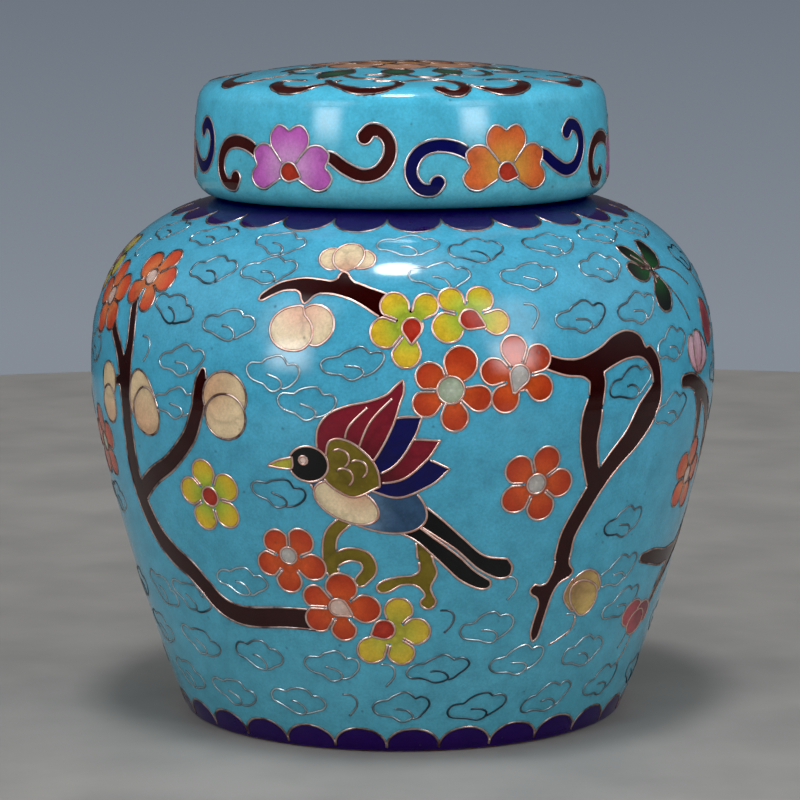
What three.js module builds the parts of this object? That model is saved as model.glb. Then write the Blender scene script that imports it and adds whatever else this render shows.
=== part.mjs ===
// A cloisonne ginger jar: a bulbous enamelled copper vessel with an upright neck, and the shallow
// cap that rests on its shoulder around that neck.
//
// Millimetres, +Z up. The origin is at the middle of the foot, on the surface that the jar stands on.
// Both pieces are turned about the Z axis, so each is one closed profile swept all the way round.

import * as THREE from 'three';

// The sheet: copper with enamel on both sides
const WALL = 2.2;

// The jar's outside, from the foot to the shoulder's ledge
const FOOT_RADIUS = 36.6;
const FOOT_ROUND = 0.6;
const FOOT_WIDTH = 1.8;
const FOOT_RECESS = 1.6;
const BELLY_RADIUS = 52;
const BELLY_HEIGHT = 55.9;
const LEDGE_RADIUS = 30;
const LEDGE_HEIGHT = 86.1;

// The handles that shape the flank below the belly and the shoulder above it
const FLANK_LOW = new THREE.Vector2(42.1, 12);
const FLANK_HIGH = new THREE.Vector2(BELLY_RADIUS, 47);
const SHOULDER_LOW = new THREE.Vector2(BELLY_RADIUS, 62);
const SHOULDER_HIGH = new THREE.Vector2(53.2, 81.3);

// The neck and the floor
const NECK_RADIUS = 27.7;
const NECK_TOP = 97.6;
const FLOOR_ROUND = 4;
const NECK_ROOT_ROUND = 1.6;

// The cap, from its lip to its crown
const LIP_RADIUS = 30.5;
const LIP_HEIGHT = 4.1;
const CAP_RADIUS = 34.4;
const CAP_TAPER = 0.7;
const CAP_LEAN = THREE.MathUtils.degToRad(11.3);
const CORNER_ROUND = 3.8;
const CROWN_TOP = 108.1;
const CROWN_CURVATURE = 172;

// How finely the curves are cut
const SIDES = 64;
const FLANK_STEPS = 10;
const SHOULDER_STEPS = 10;
const INNER_FLANK_STEPS = 7;
const INNER_SHOULDER_STEPS = 6;
const CROWN_STEPS = 3;
const CORNER_STEPS = 4;
const WALL_STEPS = 3;
const ROUND_STEPS = 3;

const QUARTER = Math.PI / 2;

// Points along an arc of an ellipse, from one angle to the other
function arc(centreR, centreZ, radiusR, radiusZ, from, to, steps) {
  const points = [];
  for (let i = 0; i <= steps; i++) {
    const angle = THREE.MathUtils.lerp(from, to, i / steps);
    points.push(new THREE.Vector2(centreR + radiusR * Math.cos(angle), centreZ + radiusZ * Math.sin(angle)));
  }
  return points;
}

// Points along a curve moved sideways: to the left of its direction where the distance is positive
function offsetPoints(curve, distance, steps) {
  const points = [];
  for (let i = 0; i <= steps; i++) {
    const t = i / steps;
    const along = curve.getTangent(t);
    points.push(curve.getPoint(t).add(new THREE.Vector2(-along.y, along.x).multiplyScalar(distance)));
  }
  return points;
}

// Sweep a profile of (radius, height) points that starts and ends on the axis right round it
function turned(profile) {
  const geometry = new THREE.LatheGeometry(profile, SIDES);
  geometry.rotateX(QUARTER);
  return geometry;
}

function jarProfile() {
  const flank = new THREE.CubicBezierCurve(
    new THREE.Vector2(FOOT_RADIUS, 0), FLANK_LOW, FLANK_HIGH, new THREE.Vector2(BELLY_RADIUS, BELLY_HEIGHT));
  const shoulder = new THREE.CubicBezierCurve(
    new THREE.Vector2(BELLY_RADIUS, BELLY_HEIGHT), SHOULDER_LOW, SHOULDER_HIGH,
    new THREE.Vector2(LEDGE_RADIUS, LEDGE_HEIGHT));

  const footInner = FOOT_RADIUS - FOOT_ROUND - FOOT_WIDTH;
  const underside = [
    new THREE.Vector2(0, FOOT_RECESS),
    new THREE.Vector2(footInner - FOOT_ROUND, FOOT_RECESS),
    new THREE.Vector2(footInner, 0),
    new THREE.Vector2(FOOT_RADIUS - FOOT_ROUND, 0),
  ];
  const outside = [
    ...flank.getPoints(FLANK_STEPS).filter((point) => point.y > FOOT_ROUND / 2),
    ...shoulder.getPoints(SHOULDER_STEPS).slice(1),
  ];
  outside.unshift(new THREE.Vector2(FOOT_RADIUS + FOOT_ROUND / 3, FOOT_ROUND));

  const lipRound = WALL / 2;
  const neck = [
    new THREE.Vector2(NECK_RADIUS, LEDGE_HEIGHT),
    ...arc(NECK_RADIUS - lipRound, NECK_TOP - lipRound, lipRound, lipRound, 0, Math.PI, ROUND_STEPS + 1),
  ];

  const throat = NECK_RADIUS - WALL;
  const floorTop = FOOT_RECESS + WALL;
  const innerShoulder = offsetPoints(shoulder, WALL, INNER_SHOULDER_STEPS).reverse();
  const lean = flank.getTangent(0).angle();
  const innerFoot = offsetPoints(flank, WALL, 1)[0];
  const roundCentre = floorTop + FLOOR_ROUND;
  const roundReach = innerFoot.x + (roundCentre - innerFoot.y) / Math.tan(lean) - FLOOR_ROUND / Math.sin(lean);
  const floorCorner = arc(
    roundReach, roundCentre, FLOOR_ROUND, FLOOR_ROUND, lean - QUARTER, -QUARTER, ROUND_STEPS);
  const innerFlank = offsetPoints(flank, WALL, INNER_FLANK_STEPS).reverse().slice(1)
    .filter((point) => point.y > roundCentre);
  const inside = [
    new THREE.Vector2(throat, innerShoulder[0].y + NECK_ROOT_ROUND),
    new THREE.Vector2(throat + NECK_ROOT_ROUND, innerShoulder[0].y + NECK_ROOT_ROUND / 4),
    ...innerShoulder,
    ...innerFlank,
    ...floorCorner,
    new THREE.Vector2(0, floorTop),
  ];
  return [...underside, ...outside, ...neck, ...inside];
}

// The cap's outline from the lip's lowest edge to the crown, drawn in from its outside by a distance
function capShell(inset) {
  const topRadius = CAP_RADIUS - CAP_TAPER;
  const cornerCentre = topRadius - CORNER_ROUND * Math.cos(CAP_LEAN);
  const crownCentre = CROWN_TOP - CROWN_CURVATURE;
  const reach = CROWN_CURVATURE - CORNER_ROUND;
  const cornerHeight = crownCentre + Math.sqrt(reach ** 2 - cornerCentre ** 2);
  const crownEdge = Math.atan2(cornerHeight - crownCentre, cornerCentre);
  const lipCentre = LEDGE_HEIGHT + LIP_HEIGHT;

  const lip = arc(
    LIP_RADIUS, lipCentre, CAP_RADIUS - LIP_RADIUS - inset, LIP_HEIGHT - inset, -QUARTER, 0, CORNER_STEPS);
  const wallTop = cornerHeight + CORNER_ROUND * Math.sin(CAP_LEAN);
  const wall = new THREE.QuadraticBezierCurve(
    new THREE.Vector2(CAP_RADIUS, lipCentre),
    new THREE.Vector2(CAP_RADIUS, wallTop - CAP_TAPER / Math.tan(CAP_LEAN)),
    new THREE.Vector2(topRadius, wallTop));
  const round = CORNER_ROUND - inset;
  const corner = arc(cornerCentre, cornerHeight, round, round, CAP_LEAN, crownEdge, CORNER_STEPS);
  const crownRadius = CROWN_CURVATURE - inset;
  const crown = arc(0, crownCentre, crownRadius, crownRadius, crownEdge, QUARTER, CROWN_STEPS);
  crown[CROWN_STEPS].x = 0;
  return { lip, wall: offsetPoints(wall, inset, WALL_STEPS), corner, crown };
}

function capProfile() {
  const outer = capShell(0);
  const inner = capShell(WALL);
  const mouth = LIP_RADIUS - WALL;
  return [
    ...outer.crown.reverse().slice(0, -1),
    ...outer.corner.reverse(),
    ...outer.wall.reverse().slice(1),
    ...outer.lip.reverse().slice(1),
    new THREE.Vector2(mouth, LEDGE_HEIGHT),
    new THREE.Vector2(mouth, LEDGE_HEIGHT + WALL),
    ...inner.lip.slice(0, -1),
    ...inner.wall.slice(0, -1),
    ...inner.corner,
    ...inner.crown.slice(1),
  ].reverse();
}

const turquoiseEnamel = new THREE.MeshStandardMaterial({ color: 0x46aecb, roughness: 0.15, metalness: 0 });
const skyEnamel = new THREE.MeshStandardMaterial({ color: 0x4fb6d2, roughness: 0.15, metalness: 0 });

const jar = new THREE.Mesh(turned(jarProfile()), turquoiseEnamel);
jar.name = 'jar';

const lid = new THREE.Mesh(turned(capProfile()), skyEnamel);
lid.name = 'lid';

const gingerJar = new THREE.Group();
gingerJar.add(jar, lid);

export default gingerJar;
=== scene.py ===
"""A cloisonne ginger jar and its cap: enamel fields in a net of gilt wires, and gilt rims.

Lengths are millimetres until a mesh is made. A place on a turned piece is a pair on that piece's chart:
x is the angle round the axis, from the front to the right, times the piece's girth, and y is the distance
up its outline from its lowest edge. Close to one place, a chart is true to size. All the drawing is done on
a flat map of the chart, which keeps every angle and has no seam.
"""
import logging
import math
from collections.abc import Iterable, Sequence
from dataclasses import dataclass, field
from enum import Enum
from functools import cached_property

import bpy
import numpy as np
from mathutils import Matrix, Vector
from mathutils.geometry import delaunay_2d_cdt


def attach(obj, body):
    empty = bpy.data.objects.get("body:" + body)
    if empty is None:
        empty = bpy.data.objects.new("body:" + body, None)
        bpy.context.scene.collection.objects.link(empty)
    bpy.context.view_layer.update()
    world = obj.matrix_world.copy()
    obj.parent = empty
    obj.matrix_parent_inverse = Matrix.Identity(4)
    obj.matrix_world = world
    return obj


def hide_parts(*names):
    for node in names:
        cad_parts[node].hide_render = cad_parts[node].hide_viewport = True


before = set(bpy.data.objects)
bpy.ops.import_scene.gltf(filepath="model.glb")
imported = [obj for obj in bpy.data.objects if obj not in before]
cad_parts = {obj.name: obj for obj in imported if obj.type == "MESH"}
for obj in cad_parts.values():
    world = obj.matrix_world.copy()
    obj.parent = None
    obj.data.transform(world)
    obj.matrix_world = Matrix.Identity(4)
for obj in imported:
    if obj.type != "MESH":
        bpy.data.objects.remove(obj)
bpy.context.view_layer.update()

Pair = tuple[float, float]
Triple = tuple[float, float, float]

MM = 0.001
BODY = "root"

log = logging.getLogger("ginger_jar")


def bezier(*handles: Pair, count: int = 240) -> np.ndarray:
    """Points along a Bezier curve.

    Args:
        handles: The curve's ends and the handles between them.
        count: How many points to give.

    Returns:
        An array of points from the first handle to the last.
    """
    t = np.linspace(0.0, 1.0, count)[:, None]
    degree = len(handles) - 1
    points = np.zeros((count, 2))
    for i, handle in enumerate(handles):
        weight = math.comb(degree, i) * t**i * (1 - t) ** (degree - i)
        points += weight * np.array(handle, float)
    return points


def arc(centre: Pair, radii: Pair, start: float, end: float, count: int = 60) -> np.ndarray:
    """Points along an arc of an ellipse.

    Args:
        centre: The ellipse's centre.
        radii: Its half width and half height.
        start: The first angle, in degrees.
        end: The last angle, in degrees.
        count: How many points to give.

    Returns:
        An array of points from the first angle to the last.
    """
    angles = np.radians(np.linspace(start, end, count))
    return np.array(centre) + np.stack([np.cos(angles) * radii[0], np.sin(angles) * radii[1]], axis=1)


def offset(points: np.ndarray, distance: float) -> np.ndarray:
    """The points moved to the left of the line's direction by a distance."""
    along = np.gradient(points, axis=0)
    along /= np.linalg.norm(along, axis=1)[:, None]
    return points + distance * np.stack([-along[:, 1], along[:, 0]], axis=1)


def smooth(points: Sequence | np.ndarray, closed: bool = False, per_span: int = 10) -> np.ndarray:
    """A smooth line through points.

    Args:
        points: The points, each of two numbers or more.
        closed: Whether the line comes back to its first point.
        per_span: How many steps to make from a point to the next.

    Returns:
        An array of points along a Catmull-Rom curve.
    """
    knots = np.array(points, float)
    if closed:
        padded = np.vstack([knots[-1:], knots, knots[:2]])
    else:
        padded = np.vstack([2 * knots[0] - knots[1], knots, 2 * knots[-1] - knots[-2]])
    t = np.linspace(0.0, 1.0, per_span, endpoint=False)[:, None]
    spans = []
    for before, start, end, after in zip(padded, padded[1:], padded[2:], padded[3:]):
        first = (end - before) / 2
        last = (after - start) / 2
        rise = 2 * t**3 - 3 * t**2
        spans.append(start * (1 + rise) - end * rise + first * (t**3 - 2 * t**2 + t) + last * (t**3 - t**2))
    if not closed:
        spans.append(knots[-1:])
    return np.vstack(spans)


def even(points: np.ndarray, step: float, closed: bool) -> np.ndarray:
    """The same line with its points at even distances of about a step."""
    line = np.vstack([points, points[:1]]) if closed else points
    lengths = np.concatenate([[0.0], np.cumsum(np.linalg.norm(np.diff(line, axis=0), axis=1))])
    count = max(int(round(lengths[-1] / step)), 6 if closed else 2)
    places = np.linspace(0.0, lengths[-1], count + 1)
    line = np.stack([np.interp(places, lengths, column) for column in line.T], axis=1)
    return line[:-1] if closed else line


def inside(points: np.ndarray, outline: np.ndarray) -> np.ndarray:
    """Which points lie inside a closed outline, also one that overlaps itself."""
    found = np.zeros(len(points), bool)
    low = outline.min(axis=0)
    high = outline.max(axis=0)
    near = np.flatnonzero(((points > low) & (points < high)).all(axis=1))
    if not len(near):
        return found
    x, y = points[near].T[:, :, None]
    start = outline[None]
    end = np.roll(outline, -1, axis=0)[None]
    side = (end[..., 0] - start[..., 0]) * (y - start[..., 1]) - (x - start[..., 0]) * (end[..., 1] - start[..., 1])
    upward = (start[..., 1] <= y) & (end[..., 1] > y) & (side > 0)
    downward = (start[..., 1] > y) & (end[..., 1] <= y) & (side < 0)
    found[near] = (upward.sum(axis=1) - downward.sum(axis=1)) != 0
    return found


def linear(code: str) -> np.ndarray:
    """The linear colour, with an alpha of 1, of a web colour code."""
    values = np.array([int(code[i : i + 2], 16) / 255 for i in (1, 3, 5)])
    curved = np.where(values <= 0.04045, values / 12.92, ((values + 0.055) / 1.055) ** 2.4)
    return np.append(curved, 1.0)


@dataclass(frozen=True)
class Paint:
    """An enamel: its colour at a field's edge and at the field's heart; for a piece's base enamel, its colour at the
    lowest edge and higher up, a change that is painted shade on the jar and painted light on the cap.
    """

    edge: str
    heart: str


class Enamel(Enum):
    """The enamels that the jar's fields are filled with."""

    # GROUND and SKY change from their first colour low down to their second higher up: painted shade, the jar's ground
    # darker and greener towards the foot, and painted light, the cap's lower wall less blue, standing in for light
    # thrown up from the shoulder.
    GROUND = Paint("#509CAE", "#4BA9C6")
    SKY = Paint("#62BECC", "#53BEDA")
    CLOUD = Paint("#4F9EB2", "#4F9EB2")
    INSIDE = Paint("#3C93B4", "#3C93B4")
    PURPLE = Paint("#240A4E", "#240A4E")
    NAVY = Paint("#07084E", "#07084E")
    RED = Paint("#B43C1E", "#D05424")
    ORANGE_RED = Paint("#CC4A28", "#DE7A44")
    YELLOW = Paint("#DAB42E", "#A6BA3A")
    GOLD = Paint("#D0B038", "#B8B03C")
    HEART_RED = Paint("#B02C1C", "#BE3E2C")
    HEART_GREEN = Paint("#AEBB9C", "#C8D2B8")
    HEART_GREY = Paint("#B9B4AE", "#CFC8BE")
    HEART_PINK = Paint("#E2B9A6", "#EBCDBD")
    CREAM = Paint("#E6CFA6", "#DBA886")
    PALE_CREAM = Paint("#DEC49A", "#DCB088")
    DULL_CREAM = Paint("#C9A964", "#A98556")
    PINK = Paint("#DDB4C0", "#CE8E9C")
    BERRY = Paint("#B04A50", "#7C2030")
    CRIMSON = Paint("#7E1828", "#3A0A12")
    BARK = Paint("#2C0A09", "#2C0A09")
    BROWN = Paint("#3E100D", "#3E100D")
    FERN = Paint("#0C3020", "#1C5A34")
    BLACK = Paint("#070708", "#0B0A0C")
    LEAF = Paint("#040C08", "#0B481B")
    OLIVE = Paint("#7C6A1C", "#6C5C18")
    MAGENTA = Paint("#C664BA", "#D89ACE")
    ORANGE = Paint("#DE6A36", "#E09C44")
    PEACH = Paint("#D08C6A", "#DCA878")
    PLUM = Paint("#5A2A6E", "#8A4E9A")
    SLATE = Paint("#31506E", "#6E8EA8")


class Chart:
    """The outside of a turned piece laid flat, so that what is drawn on it keeps its size and angles."""

    FLAT_SIZE = 1000.0

    def __init__(self, outline: np.ndarray, girth: float) -> None:
        """Measures an outline.

        Args:
            outline: Points of radius and height, from the lowest edge up.
            girth: The radius that chart angles are multiplied by.
        """
        self.girth = girth
        self.radius, self.height = outline.T
        steps = np.linalg.norm(np.diff(outline, axis=0), axis=1)
        mean_radius = np.maximum((self.radius[1:] + self.radius[:-1]) / 2, 1e-6)
        self.along = np.concatenate([[0.0], np.cumsum(steps)])
        self.rise = np.concatenate([[0.0], np.cumsum(steps / mean_radius)])
        slope = np.diff(outline, axis=0)
        self.lean = np.unwrap(np.arctan2(-slope[:, 0], slope[:, 1]))
        self.middles = (self.along[1:] + self.along[:-1]) / 2

    @property
    def top(self) -> float:
        """The highest y on the chart."""
        return float(self.along[-1])

    def radius_at(self, y: np.ndarray | float) -> np.ndarray:
        """The outline's radius at a chart height."""
        return np.interp(y, self.along, self.radius)

    def flat(self, places: Sequence | np.ndarray) -> np.ndarray:
        """Chart places as points of the flat map."""
        x, y = np.array(places, float).T
        reach = self.FLAT_SIZE * np.exp(-np.interp(y, self.along, self.rise))
        turn = x / self.girth
        return np.stack([reach * np.sin(turn), -reach * np.cos(turn)], axis=1)

    def places(self, flat: np.ndarray) -> np.ndarray:
        """Points of the flat map as chart places."""
        reach = np.maximum(np.hypot(*flat.T), 1e-9)
        y = np.interp(np.log(self.FLAT_SIZE / reach), self.rise, self.along)
        return np.stack([np.arctan2(flat[:, 0], -flat[:, 1]) * self.girth, y], axis=1)

    def scale(self, flat: np.ndarray) -> np.ndarray:
        """How many units of the flat map make a millimetre at each of its points."""
        y = np.minimum(self.places(flat)[:, 1], self.top - 0.2)
        return self.FLAT_SIZE * np.exp(-np.interp(y, self.along, self.rise)) / self.radius_at(y)

    def normals(self, places: np.ndarray) -> np.ndarray:
        """The directions straight out of the surface at chart places."""
        turn = places[:, 0] / self.girth
        lean = np.interp(places[:, 1], self.middles, self.lean)
        out = np.cos(lean)
        return np.stack([out * np.sin(turn), -out * np.cos(turn), np.sin(lean)], axis=1)

    def space(self, places: np.ndarray) -> np.ndarray:
        """Chart places as points in space."""
        turn = places[:, 0] / self.girth
        radius = self.radius_at(places[:, 1])
        height = np.interp(places[:, 1], self.along, self.height)
        return np.stack([radius * np.sin(turn), -radius * np.cos(turn), height], axis=1)

    def around(self, place: Pair, local: Sequence | np.ndarray, tilt: float = 0.0) -> np.ndarray:
        """Chart places of points drawn around a place at true size.

        Args:
            place: The chart place that the drawing's origin lies on.
            local: Points across and up from there.
            tilt: How far the drawing is turned to the left, in degrees.

        Returns:
            An array of chart places.
        """
        angle = math.radians(tilt)
        turned = np.array(local, float) @ np.array([[math.cos(angle), math.sin(angle)], [-math.sin(angle), math.cos(angle)]])
        y = np.clip(place[1] + turned[:, 1], 0.0, self.top)
        return np.stack([place[0] + turned[:, 0] * self.girth / self.radius_at(y), y], axis=1)

    def crown(self, plan: Sequence | np.ndarray) -> np.ndarray:
        """Chart places of points drawn on the crown as seen from above, with the front at the bottom."""
        across, back = np.array(plan, float).T
        return np.stack([np.arctan2(across, -back) * self.girth, self.top - np.hypot(across, back)], axis=1)


@dataclass
class Field:
    """A patch of one enamel, on the flat map."""

    outline: np.ndarray
    enamel: Enamel
    focus: np.ndarray
    near: float
    far: float
    family: int


@dataclass
class Wire:
    """A wire's run on the flat map, and how many fields were laid before it."""

    run: np.ndarray
    closed: bool
    gauge: float
    rank: int
    family: int
    kind: str
    clear: tuple[np.ndarray, float] | None = None


@dataclass
class Drawing:
    """What is drawn on one turned piece: its enamel fields and its wires, in the order they are laid."""

    chart: Chart
    step: float = 0.42
    wire_gauge: float = 0.31
    wire_kind: str = "spray"
    shift: float = 0.0
    flip: float = 1.0
    fields: list[Field] = field(default_factory=list)
    wires: list[Wire] = field(default_factory=list)
    families: int = 0

    def family(self) -> int:
        """A new number for shapes that fuse into one outline."""
        self.families += 1
        return self.families

    def flat(self, places: Sequence | np.ndarray) -> np.ndarray:
        """Chart places of the drawing as points of the flat map, moved and mirrored as the drawing is."""
        moved = np.array(places, float)
        moved[:, 0] = self.shift + self.flip * moved[:, 0]
        return self.chart.flat(moved)

    def unit(self, flat: np.ndarray) -> float:
        """How many units of the flat map make a millimetre over a shape."""
        return float(self.chart.scale(flat.mean(axis=0)[None])[0])

    def lay(self, flat: np.ndarray, enamel: Enamel, focus: np.ndarray | None = None, near: float = 1.0,
            far: float = 4.0, family: int = 0, wired: bool = True,
            clear: tuple[np.ndarray, float] | None = None) -> None:
        """Lays a field of enamel, with a wire round it.

        Args:
            flat: The field's outline on the flat map.
            enamel: What it is filled with.
            focus: Where its heart colour is, on the flat map. Its middle, if none is given.
            near: How far from the focus the heart colour reaches, in millimetres.
            far: How far from the focus the edge colour begins.
            family: A number that shapes fusing with it share, or 0.
            wired: Whether it has a wire.
            clear: A point and a distance in millimetres within which its wire is left out.
        """
        unit = self.unit(flat)
        outline = even(flat, self.step * unit, True)
        focus = outline.mean(axis=0) if focus is None else focus
        if clear is not None:
            clear = (clear[0], clear[1] * unit)
        self.fields.append(Field(outline, enamel, focus, near * unit, far * unit, family))
        if wired:
            self.wires.append(
                Wire(outline, True, self.wire_gauge, len(self.fields), family, self.wire_kind, clear))

    def line(self, flat: np.ndarray, gauge: float = 0.3, kind: str | None = None) -> None:
        """Lays a wire on its own.

        Args:
            flat: Its run on the flat map.
            gauge: Its width.
            kind: Which bundle it belongs to. The drawing's own at the time, if none is given.
        """
        run = even(flat, self.step * self.unit(flat), False)
        self.wires.append(Wire(run, False, gauge, len(self.fields), 0, kind or self.wire_kind))

    def patch(self, enamel: Enamel, *edges: Sequence, **how: object) -> None:
        """Lays a field with corners where its smooth edges meet.

        Args:
            enamel: What it is filled with.
            edges: The edges in turn, each a list of chart places.
            how: What else lay takes.
        """
        flat = np.vstack([smooth(self.flat(edge))[:-1] for edge in edges])
        self.lay(flat, enamel, **how)

    def blob(self, enamel: Enamel, places: Sequence, **how: object) -> None:
        """Lays a round-cornered field through chart places."""
        self.lay(smooth(self.flat(places), closed=True), enamel, **how)

    def ribbon(self, enamel: Enamel, spine: Sequence[Triple], **how: object) -> None:
        """Lays a ribbon with round ends.

        Args:
            enamel: What it is filled with.
            spine: Chart places along its middle, each with the ribbon's width there.
            how: What else lay takes.
        """
        line = np.array(spine, float)
        flat = self.flat(line[:, :2])
        half = line[:, 2] / 2 * self.chart.scale(flat)
        middle = smooth(np.column_stack([flat, half]))
        along = np.gradient(middle[:, :2], axis=0)
        along /= np.linalg.norm(along, axis=1)[:, None]
        side = np.stack([-along[:, 1], along[:, 0]], axis=1) * middle[:, 2:]
        caps = []
        for end, turn in ((-1, 1.0), (0, -1.0)):
            swing = np.radians(np.linspace(0, 180, 8)[1:-1])[:, None]
            ahead = along[end] * middle[end, 2] * turn
            caps.append(middle[end, :2] + np.sin(swing) * ahead + np.cos(swing) * side[end] * turn)
        left = middle[:, :2] + side
        right = (middle[:, :2] - side)[::-1]
        self.lay(np.vstack([left, caps[0], right, caps[1]]), enamel, **how)

    def drop(self, enamel: Enamel, place: Pair, local: tuple[Pair, float], tail: tuple[Pair, float],
             **how: object) -> None:
        """Lays the shape of a string pulled tight round two discs: a petal, or a drop where one is tiny.

        Args:
            enamel: What it is filled with.
            place: The chart place that the discs are measured from.
            local: The large disc's centre, across and up from the place, and its radius.
            tail: The small disc's centre and radius.
            how: What else lay takes.
        """
        (centre, radius), (root, small) = local, tail
        away = np.array(centre, float) - np.array(root, float)
        bearing = math.degrees(math.atan2(away[1], away[0]))
        spread = math.degrees(math.acos(max(-1.0, min(1.0, (small - radius) / math.hypot(*away)))))
        big = arc(centre, (radius, radius), bearing - spread, bearing + spread, 40)
        little = arc(root, (small, small), bearing + spread, bearing + 360 - spread, 14)
        self.lay(self.flat(self.chart.around(place, np.vstack([big, little]))), enamel, **how)

    def near_field(self, flat: np.ndarray, margin: float) -> bool:
        """Whether any point of a shape lies in a field, or within a margin in millimetres of one."""
        unit = self.unit(flat)
        low = flat.min(axis=0) - margin * unit
        high = flat.max(axis=0) + margin * unit
        for other in self.fields:
            if (other.outline.max(axis=0) < low).any() or (other.outline.min(axis=0) > high).any():
                continue
            gaps = np.linalg.norm(flat[:, None] - other.outline[None], axis=2)
            if gaps.min() < margin * unit or inside(flat, other.outline).any():
                return True
        return False

    def runs(self, kind: str) -> list[tuple[np.ndarray, bool, float]]:
        """The wires of one kind, cut where later fields or their own family cover them.

        Args:
            kind: Which bundle.

        Returns:
            For each run left, its points on the flat map, whether it is closed, and its gauge.
        """
        found = []
        for wire in self.wires:
            if wire.kind != kind:
                continue
            hidden = np.zeros(len(wire.run), bool)
            if wire.clear is not None:
                hidden |= np.linalg.norm(wire.run - wire.clear[0], axis=1) < wire.clear[1]
            for i, other in enumerate(self.fields):
                fused = wire.family and other.family == wire.family and i != wire.rank - 1
                if i >= wire.rank or fused:
                    hidden |= inside(wire.run, other.outline)
            if not hidden.any():
                found.append((wire.run, wire.closed, wire.gauge))
                continue
            shown = np.flatnonzero(~hidden)
            if wire.closed:
                start = int(np.flatnonzero(hidden)[0])
                run = np.roll(wire.run, -start, axis=0)
                shown = np.flatnonzero(~np.roll(hidden, -start))
            else:
                run = wire.run
            for piece in np.split(shown, np.flatnonzero(np.diff(shown) > 1) + 1):
                if len(piece) > 2:
                    found.append((run[piece], False, wire.gauge))
        return found


@dataclass(frozen=True)
class Blossom:
    """A plum blossom: petals given as across, up and radius, fused over a hub, and a heart with its tail's end."""

    place: Pair
    enamel: Enamel
    petals: tuple[Triple, ...]
    heart: Triple
    heart_enamel: Enamel
    tail: Pair | None = None
    slit: float = 2.0
    gap: float = 0.44

    def petal(self, index: int) -> np.ndarray:
        """One petal's outline, kept clear of its neighbours so that a narrow slit is left between them."""
        spots = np.array(self.petals)
        centre, radius = spots[index, :2], spots[index, 2]
        bearing = math.degrees(math.atan2(centre[1], centre[0]))
        spread = math.degrees(math.acos(-radius / max(math.hypot(*centre), radius)))
        big = arc(tuple(centre), (radius, radius), bearing - spread, bearing + spread, 60)
        outline = even(np.vstack([big, (0.0, 0.0)]), 0.2, True)
        for other in np.delete(spots, index, axis=0):
            line = centre + (other[:2] - centre) * radius / (radius + other[2])
            if line @ centre < 0:
                continue
            side = np.array([line[1], -line[0]]) / math.hypot(*line)
            side *= 1.0 if side @ other[:2] > 0 else -1.0
            over = np.maximum(outline @ side + self.gap / 2, 0.0)
            outline = outline - over[:, None] * side
        return outline

    def lay(self, drawing: Drawing) -> None:
        """Lays its petals, then its heart."""
        centre = drawing.flat(np.array([self.place]))[0]
        how = {"focus": centre, "near": 2.0, "far": 5.4, "family": drawing.family()}
        hub = drawing.chart.around(self.place, arc((0.0, 0.0), (self.slit, self.slit), 0, 350, 30))
        drawing.lay(drawing.flat(hub), self.enamel, **how)
        for index in range(len(self.petals)):
            petal = drawing.chart.around(self.place, self.petal(index))
            drawing.lay(drawing.flat(petal), self.enamel, **how)
        across, up, radius = self.heart
        tail = self.tail or (across, up - 0.1)
        root = 0.22 if self.tail else radius * 0.96
        heart = drawing.flat(drawing.chart.around(self.place, np.array([[across, up]])))[0]
        drawing.drop(self.heart_enamel, self.place, ((across, up), radius), (tail, root), focus=heart,
                     near=0.3, far=radius)


def round_petals(size: float = 1.0, turn: float = 90.0) -> tuple[Triple, ...]:
    """Five even petals, the first at a bearing in degrees."""
    bearings = [math.radians(turn + 72 * i) for i in range(5)]
    return tuple((4.0 * size * math.cos(b), 4.0 * size * math.sin(b), 2.3 * size) for b in bearings)


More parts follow.
